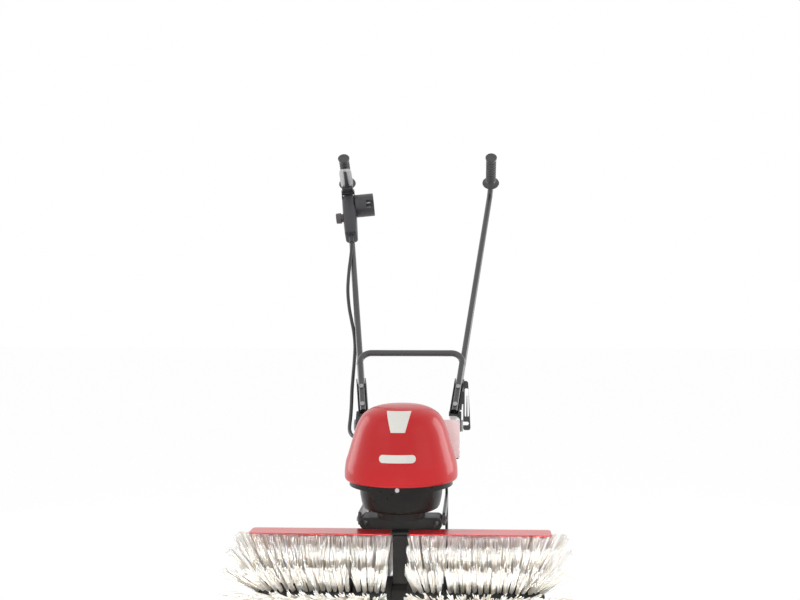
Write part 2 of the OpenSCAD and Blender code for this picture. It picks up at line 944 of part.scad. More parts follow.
module bristles(side, x0, x1, rows) {
    color([0.91, 0.89, 0.85])
        translate([0, 0, axis_z])
            mirror([side < 0 ? 1 : 0, 0, 0]) {
                difference() {
                    rotate([0, 90, 0])
                        translate([0, 0, x0])
                            cylinder(r = back_r, h = x1 - x0, $fn = 32);
                    rotate([0, 90, 0])
                        translate([0, 0, x0 - 1])
                            cylinder(r = ring_r, h = x1 - x0 + 2, $fn = 32);
                }
                for (k = [0 : len(rows) - 1])
                    for (i = [0 : strands_round - 1])
                        strand(rows[k][0], rows[k][1], (i + (k % 2) / 2) * 360 / strands_round);
            }
}

module bristles_left_inner() {
    bristles(-1, brush_start, module_split - module_slot / 2, inner_rows);
}

module bristles_left_outer() {
    bristles(-1, module_split + module_slot / 2, hub_end - 4, outer_rows);
}

module bristles_right_inner() {
    bristles(1, brush_start, module_split - module_slot / 2, inner_rows);
}

module bristles_right_outer() {
    bristles(1, module_split + module_slot / 2, hub_end - 4, outer_rows);
}

/* Motor rotor */

module motor_shaft() {
    color([0.62, 0.63, 0.65]) {
        rod_z(worm_bore, 0, worm_y, axis_z - worm_half - 9, axis_z + worm_half + eps);
        rod_z(column_shaft_r, 0, worm_y, axis_z + worm_half, floor_z - 9);
        rod_z(mid_seat_r, 0, worm_y, floor_z - 10, floor_z + 1);
        rod_z(main_r, 0, worm_y, floor_z + run_gap, shield_z - 6 - run_gap);
        rod_z(top_seat_r, 0, worm_y, shield_z - 7, shield_z + 5 + eps);
        rod_z(fan_seat_r, 0, worm_y, shield_z + 5, fan_z + 24);
    }
}

// Single-start worm: a cam shape that climbs one lead for each turn
module worm() {
    root = worm_pitch_r - gear_module * 1.1;
    tip = worm_pitch_r + gear_module * 0.9;
    steps = 12;
    shape = [for (i = [0 : steps - 1])
        let (a = i * 360 / steps, w = abs(a > 180 ? a - 360 : a))
        (w < 40 ? tip : w < 100 ? tip - (tip - root) * (w - 40) / 60 : root) * [cos(a), sin(a)]];
    color([0.66, 0.67, 0.69])
        difference() {
            translate([0, worm_y, axis_z - worm_half])
                linear_extrude(height = 2 * worm_half, twist = -360 * 2 * worm_half / worm_lead,
                    slices = 61, $fn = 12)
                    rotate([0, 0, 270 - 360 * (worm_half / worm_lead + 0.5)])
                        polygon(shape);
            rod_z(worm_bore + seat_gap, 0, worm_y, axis_z - worm_half - 1, axis_z + worm_half + 1);
        }
}

module rotor_core() {
    color([0.5, 0.51, 0.53])
        difference() {
            rod_z(rotor_r, 0, worm_y, stator_low + 2, stator_high - 2);
            rod_z(main_r + seat_gap, 0, worm_y, stator_low, stator_high);
        }
}

module fan() {
    color([0.14, 0.14, 0.15])
        difference() {
            union() {
                rod_z(62, 0, worm_y, fan_z, fan_z + 3);
                rod_z(14, 0, worm_y, fan_z, fan_z + 20);
                for (a = [0 : 45 : 315])
                    translate([0, worm_y, fan_z])
                        rotate([0, 0, a])
                            translate([13, -1.25, 0])
                                cube([48, 2.5, 18]);
            }
            rod_z(fan_seat_r + seat_gap, 0, worm_y, fan_z - 1, fan_z + 21);
        }
}

/* Handlebar */

bolt_at = [-26, 24];

module channel(side) {
    color([0.07, 0.07, 0.08])
        difference() {
            union() {
                side_frame(side) {
                    translate([0, 0, channel_low])
                        linear_extrude(channel_high - channel_low)
                            difference() {
                                translate([-channel_outer / 2, tube_r - channel_deep + channel_sheet + 0.2])
                                    square([channel_outer, channel_deep]);
                                translate([-channel_inner / 2, -60])
                                    square([channel_inner, 60 + tube_r + 0.2]);
                            }
                }
                across(side > 0 ? lug_in : -lug_out, side > 0 ? lug_out : -lug_in)
                    translate([pivot_y, pivot_height])
                        rotate([0, 0, 90 - lean])
                            round_rect(-14, -14, pivot_drop + channel_low + 16, 14, 12);
            }
            rod_x(pivot_r + run_gap, -200, 200, pivot_y, pivot_height);
            side_frame(side) {
                for (z = bolt_at)
                    rod_y(3.1, 0, -60, 40, z);
                translate([-channel_inner / 2, -60, channel_low + 4])
                    cube([channel_inner, 60 + tube_r + 0.2, 200]);
                if (side > 0)
                    for (z = [-10, 14])
                        rod_x(2.6, 0, 30, -1, z);
            }
        }
}

module channel_left() {
    channel(-1);
}

module channel_right() {
    channel(1);
}

// Bar and bends of the bow lie in one plane, and the spread legs run into the bends
module bow_path(r) {
    leg_top = bow_rise - bow_corner;
    half = channel_half + leg_top * tan(spread) - bow_corner;
    lean_frame()
        translate([0, -stack, 0]) {
            rod_x(r, -half, half, 0, bow_rise);
            for (s = [-1, 1]) {
                translate([s * half, 0, leg_top])
                    rotate([90, 0, 0])
                        rotate([0, 0, s > 0 ? 0 : 90])
                            rotate_extrude(angle = 90)
                                translate([bow_corner, 0])
                                    circle(r);
                translate([s * (half + bow_corner), 0, leg_top - 6])
                    cylinder(r = r, h = 6);
                translate([s * channel_half, 0, 0])
                    rotate([0, s * spread, 0])
                        translate([0, 0, channel_low + 10])
                            cylinder(r = r - leg_step, h = leg_top / cos(spread) - channel_low - 10 - 2);
            }
        }
}

module carry_bow() {
    color([0.07, 0.07, 0.08])
        difference() {
            bow_path(tube_r);
            for (s = [-1, 1])
                side_frame(s) {
                    for (z = bolt_at) {
                        rod_y(3.1, 0, -60, 40, z);
                        rod_y(6, 0, -60, -stack - tube_r + bolt_flat, z);
                    }
                    rod_z(tube_r - tube_wall, 0, -stack, channel_low, bow_rise - 50);
                }
        }
}

module tube(side) {
    color([0.07, 0.07, 0.08])
        difference() {
            side_frame(side) {
                translate([0, 0, channel_low + 10])
                    cylinder(r = tube_r, h = tube_length - bend_radius - channel_low - 10);
                translate([0, -bend_radius, tube_length - bend_radius])
                    rotate([0, 90, 0])
                        rotate([0, 0, 90])
                            rotate_extrude(angle = 90)
                                translate([bend_radius, 0])
                                    circle(tube_r);
                translate([0, -bend_radius + eps, tube_length])
                    rotate([90, 0, 0])
                        cylinder(r = tube_r, h = grip_end - bend_radius - 5);
            }
            side_frame(side) {
                for (z = bolt_at)
                    rod_y(3.1, 0, -60, 40, z);
                rod_z(tube_r - tube_wall, 0, 0, channel_low, tube_length - bend_radius - 10);
            }
        }
}

module tube_left() {
    tube(-1);
}

module tube_right() {
    tube(1);
}

module handle_bolts() {
    color([0.3, 0.3, 0.32])
        for (s = [-1, 1])
            side_frame(s)
                for (z = bolt_at) {
                    rod_y(3, 0, -stack - tube_r, tube_r + channel_sheet + 5, z);
                    translate([0, -stack - tube_r + bolt_flat, z])
                        rotate([90, 0, 0])
                            cylinder(r = 5.5, h = 4.5);
                    translate([0, tube_r + channel_sheet + 0.2, z])
                        rotate([-90, 0, 0])
                            hex_head(6, 5);
                }
}

module grip(side) {
    color([0.06, 0.06, 0.065])
        side_frame(side)
            translate([0, -guard_at, tube_length])
                rotate([90, 0, 0])
                    difference() {
                        union() {
                            rotate_extrude($fn = 48)
                                polygon([
                                    [tube_r + seat_gap, 0], [guard_diameter / 2 - 1, 0],
                                    [guard_diameter / 2, 1.5], [guard_diameter / 2 - 1, 4],
                                    [grip_r, 7], [grip_r - 1, 12], [grip_r - 1, grip_length - 6],
                                    [grip_r + 2, grip_length - 4], [grip_r + 2, grip_length - 1],
                                    [grip_r + 1, grip_length], [0, grip_length], [0, grip_length - 4],
                                    [tube_r + seat_gap, grip_length - 4]
                                ]);
                            for (a = [0 : 22.5 : 337.5])
                                rotate([0, 0, a])
                                    translate([grip_r - 2, -1.1, 12])
                                        cube([2.2, 2.2, grip_length - 18]);
                        }
                        translate([0, 0, grip_length - 1])
                            cylinder(r = 6, h = 2);
                    }
}

module grip_left() {
    grip(-1);
}

module grip_right() {
    grip(1);
}

// Switch box: a shell of rounded section round the tube, with a pocket for lever and button
module switch_box() {
    color([0.12, 0.12, 0.125])
        side_frame(-1)
            difference() {
                union() {
                    translate([0, 0, box_low])
                        linear_extrude(box_length)
                            round_rect(-box_width / 2, -box_front, box_width / 2, box_back, 9);
                    translate([0, -18, box_low - 24])
                        cylinder(r1 = cable_diameter / 2 + 2, r2 = cable_diameter / 2 + 4, h = 25);
                }
                translate([0, 0, box_low - 20])
                    cylinder(r = tube_r + seat_gap, h = box_length + 40);
                translate([0, -24, box_low + 5])
                    linear_extrude(box_length - 34)
                        round_rect(-box_width / 2 + 3, -13, box_width / 2 - 3, 13, 5);
                translate([0, -18, box_low - 25])
                    cylinder(r = cable_diameter / 2 + 1, h = 32);
                translate([-16, -box_front - 1, box_high - 20])
                    cube([32, 19, 22]);
                rod_x(button_r - 3, -box_width, 0, -button_n - 6, button_mid);
                rod_x(8, 0, box_width, -24, inlet_mid - 8);
            }
    color([0.12, 0.12, 0.125])
        side_frame(-1)
            rod_x(2, -17, 17, lever_pin_y, lever_at);
}

lever_pin_y = -box_front + 8;

module lever() {
    color([0.1, 0.1, 0.105])
        side_frame(-1)
            difference() {
                union() {
                    rod_x(6, -14, 14, lever_pin_y, lever_at);
                    translate([-14, -box_front - 16, lever_at - 5])
                        cube([28, 22, 12]);
                    along(-grip_end + 14, -box_front - 6)
                        difference() {
                            translate([0, tube_length])
                                circle(grip_r + lever_gap + 3);
                            translate([0, tube_length])
                                circle(grip_r + lever_gap);
                            translate([-100, tube_length - 25])
                                square([200, 200]);
                        }
                }
                rod_x(2 + run_gap, -20, 20, lever_pin_y, lever_at);
                translate([-20, -box_front - 5, lever_at + 6])
                    cube([40, 20, 10]);
            }
}

module inlet_shroud() {
    color([0.1, 0.1, 0.105])
        side_frame(-1)
            difference() {
                rod_x(inlet_diameter / 2, box_width / 2, box_width / 2 + inlet_length, -inlet_n, inlet_mid);
                rod_x(inlet_diameter / 2 - 4, box_width / 2 + 12, box_width / 2 + inlet_length + 1, -inlet_n, inlet_mid);
                translate([box_width / 2 + inlet_length - 22, -inlet_n - 40, inlet_mid - 13])
                    cube([30, 22, 26]);
                for (z = [-pin_spacing / 2, pin_spacing / 2])
                    rod_x(2.42, box_width / 2 - 1, box_width / 2 + 13, -inlet_n, inlet_mid + z);
            }
}

module inlet_pins() {
    color([0.85, 0.85, 0.86])
        side_frame(-1)
            for (z = [-pin_spacing / 2, pin_spacing / 2])
                rod_x(2.4, box_width / 2, box_width / 2 + inlet_length - 10, -inlet_n, inlet_mid + z);
}

module button() {
    color([0.3, 0.1, 0.1])
        side_frame(-1) {
            rod_x(button_r, -box_width / 2 - 20, -box_width / 2 - 5, -button_n - 6, button_mid);
            rod_x(button_r - 3.3, -box_width / 2 - 6, -box_width / 2 + 2, -button_n - 6, button_mid);
        }
}

// Cord hook: a plate facing the front with a tongue to hang a loop of lead over and an open slot
module cord_hook() {
    color([0.08, 0.08, 0.085])
        difference() {
            union() {
                lean_frame()
                    translate([hook_x, hook_n, 0])
                        along(-2, 2) {
                            difference() {
                                round_rect(0, -96, 26, 58, 7);
                                round_rect(5.5, -56, 20.5, 36, 4);
                                translate([-1, -83])
                                    square([15, 13]);
                                translate([14, -76.5])
                                    circle(6.5);
                            }
                            polygon([[10.5, -58], [15.5, -58], [14, 10], [12, 10]]);
                        }
                side_frame(1) {
                    translate([channel_outer / 2, -12, -22])
                        cube([3, 18, 44]);
                    translate([channel_outer / 2, hook_n - 2.5, -12])
                        cube([hook_x - channel_half - 9, 5, 32]);
                }
            }
            side_frame(1)
                translate([channel_outer / 2 - 40, -60, -120])
                    cube([40, 120, 240]);
            side_frame(1)
                for (z = [-10, 14])
                    rod_x(2.6, 0, 30, -1, z);
        }
}

/* Cable */

cable_points = [
    [-182, 602, 970], [-178, 584, 946], [-177, 568, 922], [-178, 550, 894], [-179, 530, 864],
    [-178, 500, 816], [-171, 472, 772], [-162, 450, 738], [-154, 436, 706], [-149, 420, 672],
    [-147, 392, 638], [-146, 360, 604], [-145, 328, 570], [-143, 302, 539], [-142, 282.4, 516.5],
    [-141.9, 268.9, 501.7], [-141.9, 255.4, 487], [-140.6, 246.5, 478.7], [-136.8, 236.8, 472.4],
    [-130.8, 226.9, 468.4], [-123.1, 217.7, 467], [-107.8, 201.8, 467], [-88.3, 181.7, 467]
];

function spline(a, b, c, d, t) =
    0.5 * (2 * b + (c - a) * t + (2 * a - 5 * b + 4 * c - d) * t * t + (3 * b - a - 3 * c + d) * t * t * t);

function route(p) = [
    for (i = [0 : len(p) - 2])
        for (t = [0, 1 / 3, 2 / 3])
            spline(p[max(0, i - 1)], p[i], p[i + 1], p[min(len(p) - 1, i + 2)], t),
    p[len(p) - 1]
];

module swept(path, r, sides) {
    n = len(path);
    way = [for (i = [0 : n - 1]) path[min(n - 1, i + 1)] - path[max(0, i - 1)]];
    points = [for (i = [0 : n - 1])
        let (w = way[i] / norm(way[i]), u0 = cross(w, [1, 0.3, 0]), u = u0 / norm(u0), v = cross(w, u))
        for (k = [0 : sides - 1])
            path[i] + r * (cos(k * 360 / sides) * u + sin(k * 360 / sides) * v)];
    skin = [for (i = [0 : n - 2])
        for (k = [0 : sides - 1])
            let (a = i * sides + k, b = i * sides + (k + 1) % sides)
            for (f = [[a, b, b + sides], [a, b + sides, a + sides]]) f];
    first = [for (k = [1 : sides - 2]) [0, k + 1, k]];
    last = [for (k = [1 : sides - 2]) (n - 1) * sides * [1, 1, 1] + [0, k, k + 1]];
    polyhedron(points, concat(skin, first, last));
}

module cable() {
    color([0.06, 0.06, 0.065])
        swept(route(cable_points), cable_diameter / 2, 8);
}

place() {
    gearbox_left();
    gearbox_right();
    case_bolts();
    crossbeam();
    frame_bolts();
    fender_left();
    fender_right();
    motor_base();
    hood();
    hood_screws();
    badges();
    stator_core();
    windings();
    end_shield();
    stator_bolts();
    brush_bearings();
    motor_bearings();
    shaft_seals();
    rear_cover();
    cover_screws();
    capacitor();
    terminal_block();
    rear_frame();
    wheel_axle();
    axle_clips();
    pivot_rod();
    pivot_nuts();
    cable_gland();
    drive_shaft();
    worm_wheel();
    hub_left();
    hub_right();
    hub_pins();
    bristles_left_inner();
    bristles_left_outer();
    bristles_right_inner();
    bristles_right_outer();
    motor_shaft();
    worm();
    rotor_core();
    fan();
    channel_left();
    channel_right();
    carry_bow();
    tube_left();
    tube_right();
    handle_bolts();
    grip_left();
    grip_right();
    switch_box();
    inlet_shroud();
    inlet_pins();
    cord_hook();
    cable();
    lever();
    button();
    rim_left();
    tyre_left();
    rim_right();
    tyre_right();
}
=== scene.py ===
import json
import math
import random

import bmesh
import bpy
from mathutils import Matrix, Vector


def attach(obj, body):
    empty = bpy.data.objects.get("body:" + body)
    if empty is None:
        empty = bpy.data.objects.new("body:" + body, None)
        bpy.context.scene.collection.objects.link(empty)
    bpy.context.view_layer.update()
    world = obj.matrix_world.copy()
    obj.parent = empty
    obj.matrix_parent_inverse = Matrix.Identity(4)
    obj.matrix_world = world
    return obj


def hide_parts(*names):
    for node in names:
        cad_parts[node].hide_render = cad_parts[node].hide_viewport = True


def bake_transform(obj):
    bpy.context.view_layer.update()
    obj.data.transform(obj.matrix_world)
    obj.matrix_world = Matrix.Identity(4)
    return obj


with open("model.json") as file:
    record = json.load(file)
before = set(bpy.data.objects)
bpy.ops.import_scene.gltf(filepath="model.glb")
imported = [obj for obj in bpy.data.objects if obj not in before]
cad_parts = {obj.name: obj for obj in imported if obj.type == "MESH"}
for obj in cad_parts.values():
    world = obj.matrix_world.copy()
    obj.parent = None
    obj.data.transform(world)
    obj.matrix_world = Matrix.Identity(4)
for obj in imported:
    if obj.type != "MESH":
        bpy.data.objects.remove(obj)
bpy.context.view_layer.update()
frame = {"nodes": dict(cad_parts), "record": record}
nodes = frame["nodes"]
scene = bpy.context.scene
# The source draws the machine with y = 0 at the brush axis
shiftY = -0.287
motorY = 0.029
print("stage: frame loaded")

# Camera: level, 2.1 m in front of the brush axis and a little to the right. Lengths are in metres, and the focal
# length, the horizon and the middle of the hood are in pixels of the picture
view = {
    "turn": 2.2, "right": 0.16, "away": 2.095, "height": 0.808, "sensor": 36.0,
    "focal": 980.0, "horizon": 293.0, "middle": 401.3, "across": 800.0, "down": 600.0,
}
turn = math.radians(view["turn"])
camData = bpy.data.cameras.new("photoCamera")
camData.sensor_fit = "HORIZONTAL"
camData.sensor_width = view["sensor"]
camData.lens = view["sensor"] * view["focal"] / view["across"]
camera = bpy.data.objects.new("photoCamera", camData)
camera.location = (view["right"], shiftY - view["away"], view["height"])
camera.rotation_euler = (math.radians(90.0), 0.0, turn)
hoodSeen = math.tan(turn - math.atan(view["right"] / (view["away"] + motorY))) * view["focal"]
camData.shift_x = (view["across"] / 2 + hoodSeen - view["middle"]) / view["across"]
camData.shift_y = (view["horizon"] - view["down"] / 2) / view["across"]
scene.collection.objects.link(camera)
scene.camera = camera
scene.view_settings.view_transform = "Standard"
# Light passes from strand to strand in the brush
scene.cycles.max_bounces = 16
scene.cycles.diffuse_bounces = 10


def addObject(name, mesh, body=None, smooth=True):
    obj = bpy.data.objects.new(name, mesh)
    scene.collection.objects.link(obj)
    if smooth:
        mesh.polygons.foreach_set("use_smooth", [True] * len(mesh.polygons))
    if body:
        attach(obj, body)
    return obj


def meshFrom(name, verts, faces):
    mesh = bpy.data.meshes.new(name)
    mesh.from_pydata(verts, [], faces)
    mesh.update()
    return mesh


def meshOf(name, bm):
    mesh = bpy.data.meshes.new(name)
    bm.to_mesh(mesh)
    bm.free()
    return mesh


# Materials
def newMaterial(name, color, rough, metal=0.0, coat=0.0, coatRough=0.1, gloss=0.5):
    mat = bpy.data.materials.new(name)
    mat.use_nodes = True
    tree = mat.node_tree
    shader = tree.nodes["Principled BSDF"]
    shader.inputs["Base Color"].default_value = (*color, 1.0)
    shader.inputs["Roughness"].default_value = rough
    shader.inputs["Metallic"].default_value = metal
    shader.inputs["Coat Weight"].default_value = coat
    shader.inputs["Coat Roughness"].default_value = coatRough
    shader.inputs["Specular IOR Level"].default_value = gloss
    return mat, tree, shader


def noise(tree, scale, detail=4.0, stretch=None):
    coord = tree.nodes.new("ShaderNodeTexCoord")
    source = coord.outputs["Object"]
    if stretch:
        mapping = tree.nodes.new("ShaderNodeMapping")
        mapping.inputs["Scale"].default_value = stretch
        tree.links.new(source, mapping.inputs["Vector"])
        source = mapping.outputs["Vector"]
    tex = tree.nodes.new("ShaderNodeTexNoise")
    tex.inputs["Scale"].default_value = scale
    tex.inputs["Detail"].default_value = detail
    tree.links.new(source, tex.inputs["Vector"])
    return tex.outputs["Fac"]


def ramp(tree, fac, low, high, start=0.35, stop=0.65):
    node = tree.nodes.new("ShaderNodeValToRGB")
    node.color_ramp.elements[0].position = start
    node.color_ramp.elements[0].color = (*low, 1.0)
    node.color_ramp.elements[1].position = stop
    node.color_ramp.elements[1].color = (*high, 1.0)
    tree.links.new(fac, node.inputs["Fac"])
    return node.outputs["Color"]


def spread(tree, fac, low, high):
    node = tree.nodes.new("ShaderNodeMapRange")
    node.inputs["From Min"].default_value = 0.3
    node.inputs["From Max"].default_value = 0.7
    node.inputs["To Min"].default_value = low
    node.inputs["To Max"].default_value = high
    tree.links.new(fac, node.inputs["Value"])
    return node.outputs["Result"]


def bump(tree, shader, fac, strength, depth):
    node = tree.nodes.new("ShaderNodeBump")
    node.inputs["Strength"].default_value = strength
    node.inputs["Distance"].default_value = depth
    tree.links.new(fac, node.inputs["Height"])
    tree.links.new(node.outputs["Normal"], shader.inputs["Normal"])


def finishMaterial(name, color, rough, metal=0.0, coat=0.0, coatRough=0.1, vary=0.12, tone=9.0, grain=400.0,
                   depth=0.0002, strength=0.2, wear=0.06, stretch=None, gloss=0.5):
    mat, tree, shader = newMaterial(name, color, rough, metal, coat, coatRough, gloss)
    cloud = noise(tree, tone, 5.0)
    dark = [c * (1.0 - vary) for c in color]
    pale = [min(1.0, c * (1.0 + vary) + 0.002) for c in color]
    tree.links.new(ramp(tree, cloud, dark, pale), shader.inputs["Base Color"])
    fine = noise(tree, grain, 3.0, stretch)
    tree.links.new(spread(tree, noise(tree, tone * 3.0, 6.0), rough - wear, rough + wear), shader.inputs["Roughness"])
    bump(tree, shader, fine, strength, depth)
    return mat


finishes = {
    "hood_red": finishMaterial("hoodRed", (0.51, 0.007, 0.01), 0.32, coat=0.35, coatRough=0.1, gloss=0.2, vary=0.03,
                               tone=3.0, grain=300.0, depth=0.00002, strength=0.05, wear=0.02),
    # Pale red cover, its colour raised almost to white as a painted highlight of the strong back light and against the
    # hood's shade
    "cover_red": finishMaterial("coverRed", (0.97, 0.91, 0.91), 0.24, coat=0.6, coatRough=0.1, vary=0.05, tone=6.0,
                                depth=0.00004, strength=0.1),
    "fender_red": finishMaterial("fenderRed", (0.6, 0.015, 0.018), 0.2, coat=0.45, coatRough=0.04, vary=0.06,
                                 tone=7.0, grain=200.0, depth=0.00002, strength=0.05, wear=0.03),
    "case_black": finishMaterial("caseBlack", (0.009, 0.0085, 0.008), 0.4, gloss=0.3, grain=500.0, depth=0.0003,
                                 strength=0.2),
    "base_black": finishMaterial("baseBlack", (0.009, 0.007, 0.0065), 0.3, coat=0.08, coatRough=0.15, gloss=0.2,
                                 grain=450.0, depth=0.00008, strength=0.12),
    "frame_black": finishMaterial("frameBlack", (0.024, 0.024, 0.025), 0.34, coat=0.15, coatRough=0.2, grain=500.0,
                                  depth=0.00004, strength=0.1),
    "tube_black": finishMaterial("tubeBlack", (0.045, 0.045, 0.047), 0.24, coat=0.6, coatRough=0.1, grain=450.0,
                                 depth=0.00003, strength=0.1),
    "label_silver": finishMaterial("labelPale", (0.72, 0.71, 0.66), 0.35, vary=0.04, grain=300.0, depth=0.00004),
    "bolt_steel": finishMaterial("boltSteel", (0.34, 0.34, 0.35), 0.26, metal=1.0, vary=0.2, tone=60.0, grain=700.0,
                                 depth=0.00005),
    "bright_steel": finishMaterial("brightSteel", (0.6, 0.6, 0.61), 0.28, metal=1.0, vary=0.1, tone=40.0, grain=300.0,
                                   stretch=(1.0, 30.0, 30.0)),
    "core_steel": finishMaterial("coreSteel", (0.3, 0.31, 0.33), 0.45, metal=1.0, vary=0.15, grain=300.0,
                                 stretch=(0.5, 0.5, 8.0), depth=0.0006, strength=0.5),
    "copper": finishMaterial("copperWire", (0.55, 0.2, 0.07), 0.35, metal=1.0, vary=0.25, tone=120.0, grain=260.0,
                             stretch=(1.0, 1.0, 6.0), depth=0.0008, strength=0.6),
    "bronze": finishMaterial("wheelBronze", (0.52, 0.31, 0.1), 0.35, metal=1.0, vary=0.12, tone=50.0),
    "cast_alloy": finishMaterial("castAlloy", (0.48, 0.49, 0.5), 0.5, metal=1.0, vary=0.1, tone=30.0, grain=350.0,
                                 depth=0.0005, strength=0.35),
    "block_cream": finishMaterial("blockCream", (0.7, 0.66, 0.54), 0.5, vary=0.05),
    "seal_rubber": finishMaterial("sealRubber", (0.02, 0.02, 0.02), 0.7),
    "hub_black": finishMaterial("hubBlack", (0.018, 0.017, 0.016), 0.55, grain=380.0, depth=0.0003, strength=0.3),
    "grip_rubber": finishMaterial("gripRubber", (0.034, 0.034, 0.035), 0.3, coat=0.4, coatRough=0.2, grain=900.0,
                                  depth=0.0001, strength=0.2),
    "box_black": finishMaterial("boxBlack", (0.045, 0.043, 0.049), 0.38, grain=800.0, depth=0.0001, strength=0.25),
    "lever_black": finishMaterial("leverGrey", (0.5, 0.5, 0.51), 0.14, coat=0.8, coatRough=0.05, vary=0.06, grain=60.0,
                                  depth=0.00001, strength=0.04, wear=0.03),
    "button_dark": finishMaterial("buttonDark", (0.085, 0.074, 0.078), 0.4, grain=600.0, depth=0.0001),
    "pin_nickel": finishMaterial("pinNickel", (0.86, 0.85, 0.83), 0.3, metal=0.35, vary=0.04),
    "tyre_black": finishMaterial("tyreBlack", (0.016, 0.016, 0.016), 0.75, grain=260.0, depth=0.0009, strength=0.5),
    "cable_rubber": finishMaterial("cableRubber", (0.035, 0.035, 0.037), 0.36, grain=500.0, depth=0.00008),
}

slotOf = {row["node"]: row["material_slot"] for row in frame["record"]["subparts"]}
for name, obj in nodes.items():
    if slotOf[name] in finishes:
        obj.data.materials.clear()
        obj.data.materials.append(finishes[slotOf[name]])
print("stage: materials on the kept nodes")


def spline(points, count):
    out = []
    for i in range(len(points) - 1):
        a = Vector(points[max(0, i - 1)])
        b = Vector(points[i])
        c = Vector(points[i + 1])
        d = Vector(points[min(len(points) - 1, i + 2)])
        for k in range(count):
            t = k / count
            out.append(0.5 * (2 * b + (c - a) * t + (2 * a - 5 * b + 4 * c - d) * t * t
                              + (3 * b - a - 3 * c + d) * t * t * t))
    out.append(Vector(points[-1]))
    return out


def sweep(path, radii, sides):
    verts, faces = [], []
    side = Vector((1.0, 0.3, 0.0))
    for i, p in enumerate(path):
        way = (path[min(len(path) - 1, i + 1)] - path[max(0, i - 1)]).normalized()
        u = way.cross(side).normalized()
        v = way.cross(u)
        side = v * -1.0 if side.dot(v) < 0 else v
        for k in range(sides):
            a = 2 * math.pi * k / sides
            verts.append(p + radii[i] * (math.cos(a) * u + math.sin(a) * v))
    for i in range(len(path) - 1):
        for k in range(sides):
            a, b = i * sides + k, i * sides + (k + 1) % sides
            faces.append((a, b, b + sides, a + sides))
    faces.append(tuple(range(sides - 1, -1, -1)))
    faces.append(tuple((len(path) - 1) * sides + k for k in range(sides)))
    return verts, faces


# The handle's own frame at the foot of each tube, leaning back and splayed outwards
handleFoot = {"x": 0.1155, "y": 0.30413, "z": 0.5449, "lean": -37.0, "splay": 7.3}
bothSides = (("left", -1), ("right", 1))


def leanFrame(x):
    place = Matrix.Translation((x, handleFoot["y"] + shiftY, handleFoot["z"]))
    return place @ Matrix.Rotation(math.radians(handleFoot["lean"]), 4, "X")


def handleFrame(side):
    splay = Matrix.Rotation(math.radians(side * handleFoot["splay"]), 4, "Y")
    return leanFrame(side * handleFoot["x"]) @ splay


def softenEdges(bm, edges, width, segments):
    bmesh.ops.bevel(bm, geom=edges, offset=width, offset_type="OFFSET", segments=segments, profile=0.5,
                    affect="EDGES", material=-1, clamp_overlap=True)


def sharpEdges(bm, limit):
    return [e for e in bm.edges if len(e.link_faces) == 2 and e.calc_face_angle(0.0) > limit]


# Closes a piece that is drawn in millimetres
def finishPiece(name, bm, body, slot, nodeName=None, matrix=None, sharp=35.0):
    bmesh.ops.remove_doubles(bm, verts=bm.verts, dist=1e-6)
    bmesh.ops.recalc_face_normals(bm, faces=bm.faces)
    bmesh.ops.scale(bm, verts=bm.verts, vec=(0.001, 0.001, 0.001))
    if matrix:
        bmesh.ops.transform(bm, verts=bm.verts, matrix=matrix)
    mesh = meshOf(name, bm)
    obj = addObject(name, mesh, body)
    mesh.materials.append(finishes[slot])
    mesh.set_sharp_from_angle(angle=math.radians(sharp))
    if nodeName:
        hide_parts(nodeName)
    return obj


def roundBox(bm, low, high, width, segments=3):
    made = bmesh.ops.create_cube(bm, size=1.0)["verts"]
    size = [h - l for l, h in zip(low, high)]
    bmesh.ops.scale(bm, verts=made, vec=size)
    bmesh.ops.translate(bm, verts=made, vec=[(l + h) / 2 for l, h in zip(low, high)])
    edges = {e for v in made for e in v.link_edges}
    softenEdges(bm, list(edges), width, segments)


def turnedPart(bm, profile, steps, matrix=None):
    ring = [bm.verts.new((r, 0.0, z)) for r, z in profile]
    edges = [bm.edges.new((ring[i], ring[i + 1])) for i in range(len(ring) - 1)]
    made = bmesh.ops.spin(bm, geom=ring + edges, cent=(0, 0, 0), axis=(0, 0, 1), angle=2 * math.pi, steps=steps,
                          use_merge=True)
    verts = set(ring) | {v for v in made["geom_last"] if isinstance(v, bmesh.types.BMVert)}
    grown = set(verts)
    front = list(verts)
    while front:
        v = front.pop()
        for e in v.link_edges:
            o = e.other_vert(v)
            if o not in grown:
                grown.add(o)
                front.append(o)
    if matrix:
        bmesh.ops.transform(bm, verts=list(grown), matrix=matrix)


def onAxis(place, axis):
    return Matrix.Translation(place) @ Matrix.Rotation(math.pi / 2, 4, axis)


# Lead from the switch box to the cover: the route of the source, in millimetres
lead = {
    "diameter": 0.009, "steps": 10, "sides": 16, "bendFrom": 40, "bendTo": 175,
    "points": [
        (-182, 602, 970), (-178, 584, 946), (-177, 568, 922), (-178, 550, 894), (-179, 530, 864),
        (-178, 500, 816), (-171, 472, 772), (-162, 450, 738), (-154, 436, 706), (-149, 420, 672),
        (-147, 392, 638), (-146, 360, 604), (-145, 328, 570), (-143, 302, 539), (-142, 282.4, 516.5),
        (-141.9, 268.9, 501.7), (-141.9, 255.4, 487), (-140.6, 246.5, 478.7), (-136.8, 236.8, 472.4),
        (-130.8, 226.9, 468.4), (-123.1, 217.7, 467), (-107.8, 201.8, 467), (-88.3, 181.7, 467),
    ],
}
leadPath = spline([(x / 1000, y / 1000 + shiftY, z / 1000) for x, y, z in lead["points"]], lead["steps"])
verts, faces = sweep(leadPath, [lead["diameter"] / 2] * len(leadPath), lead["sides"])
cable = addObject("leadCable", meshFrom("leadCable", verts, faces))
cable.data.materials.append(finishes["cable_rubber"])
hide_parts("cable")
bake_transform(cable)

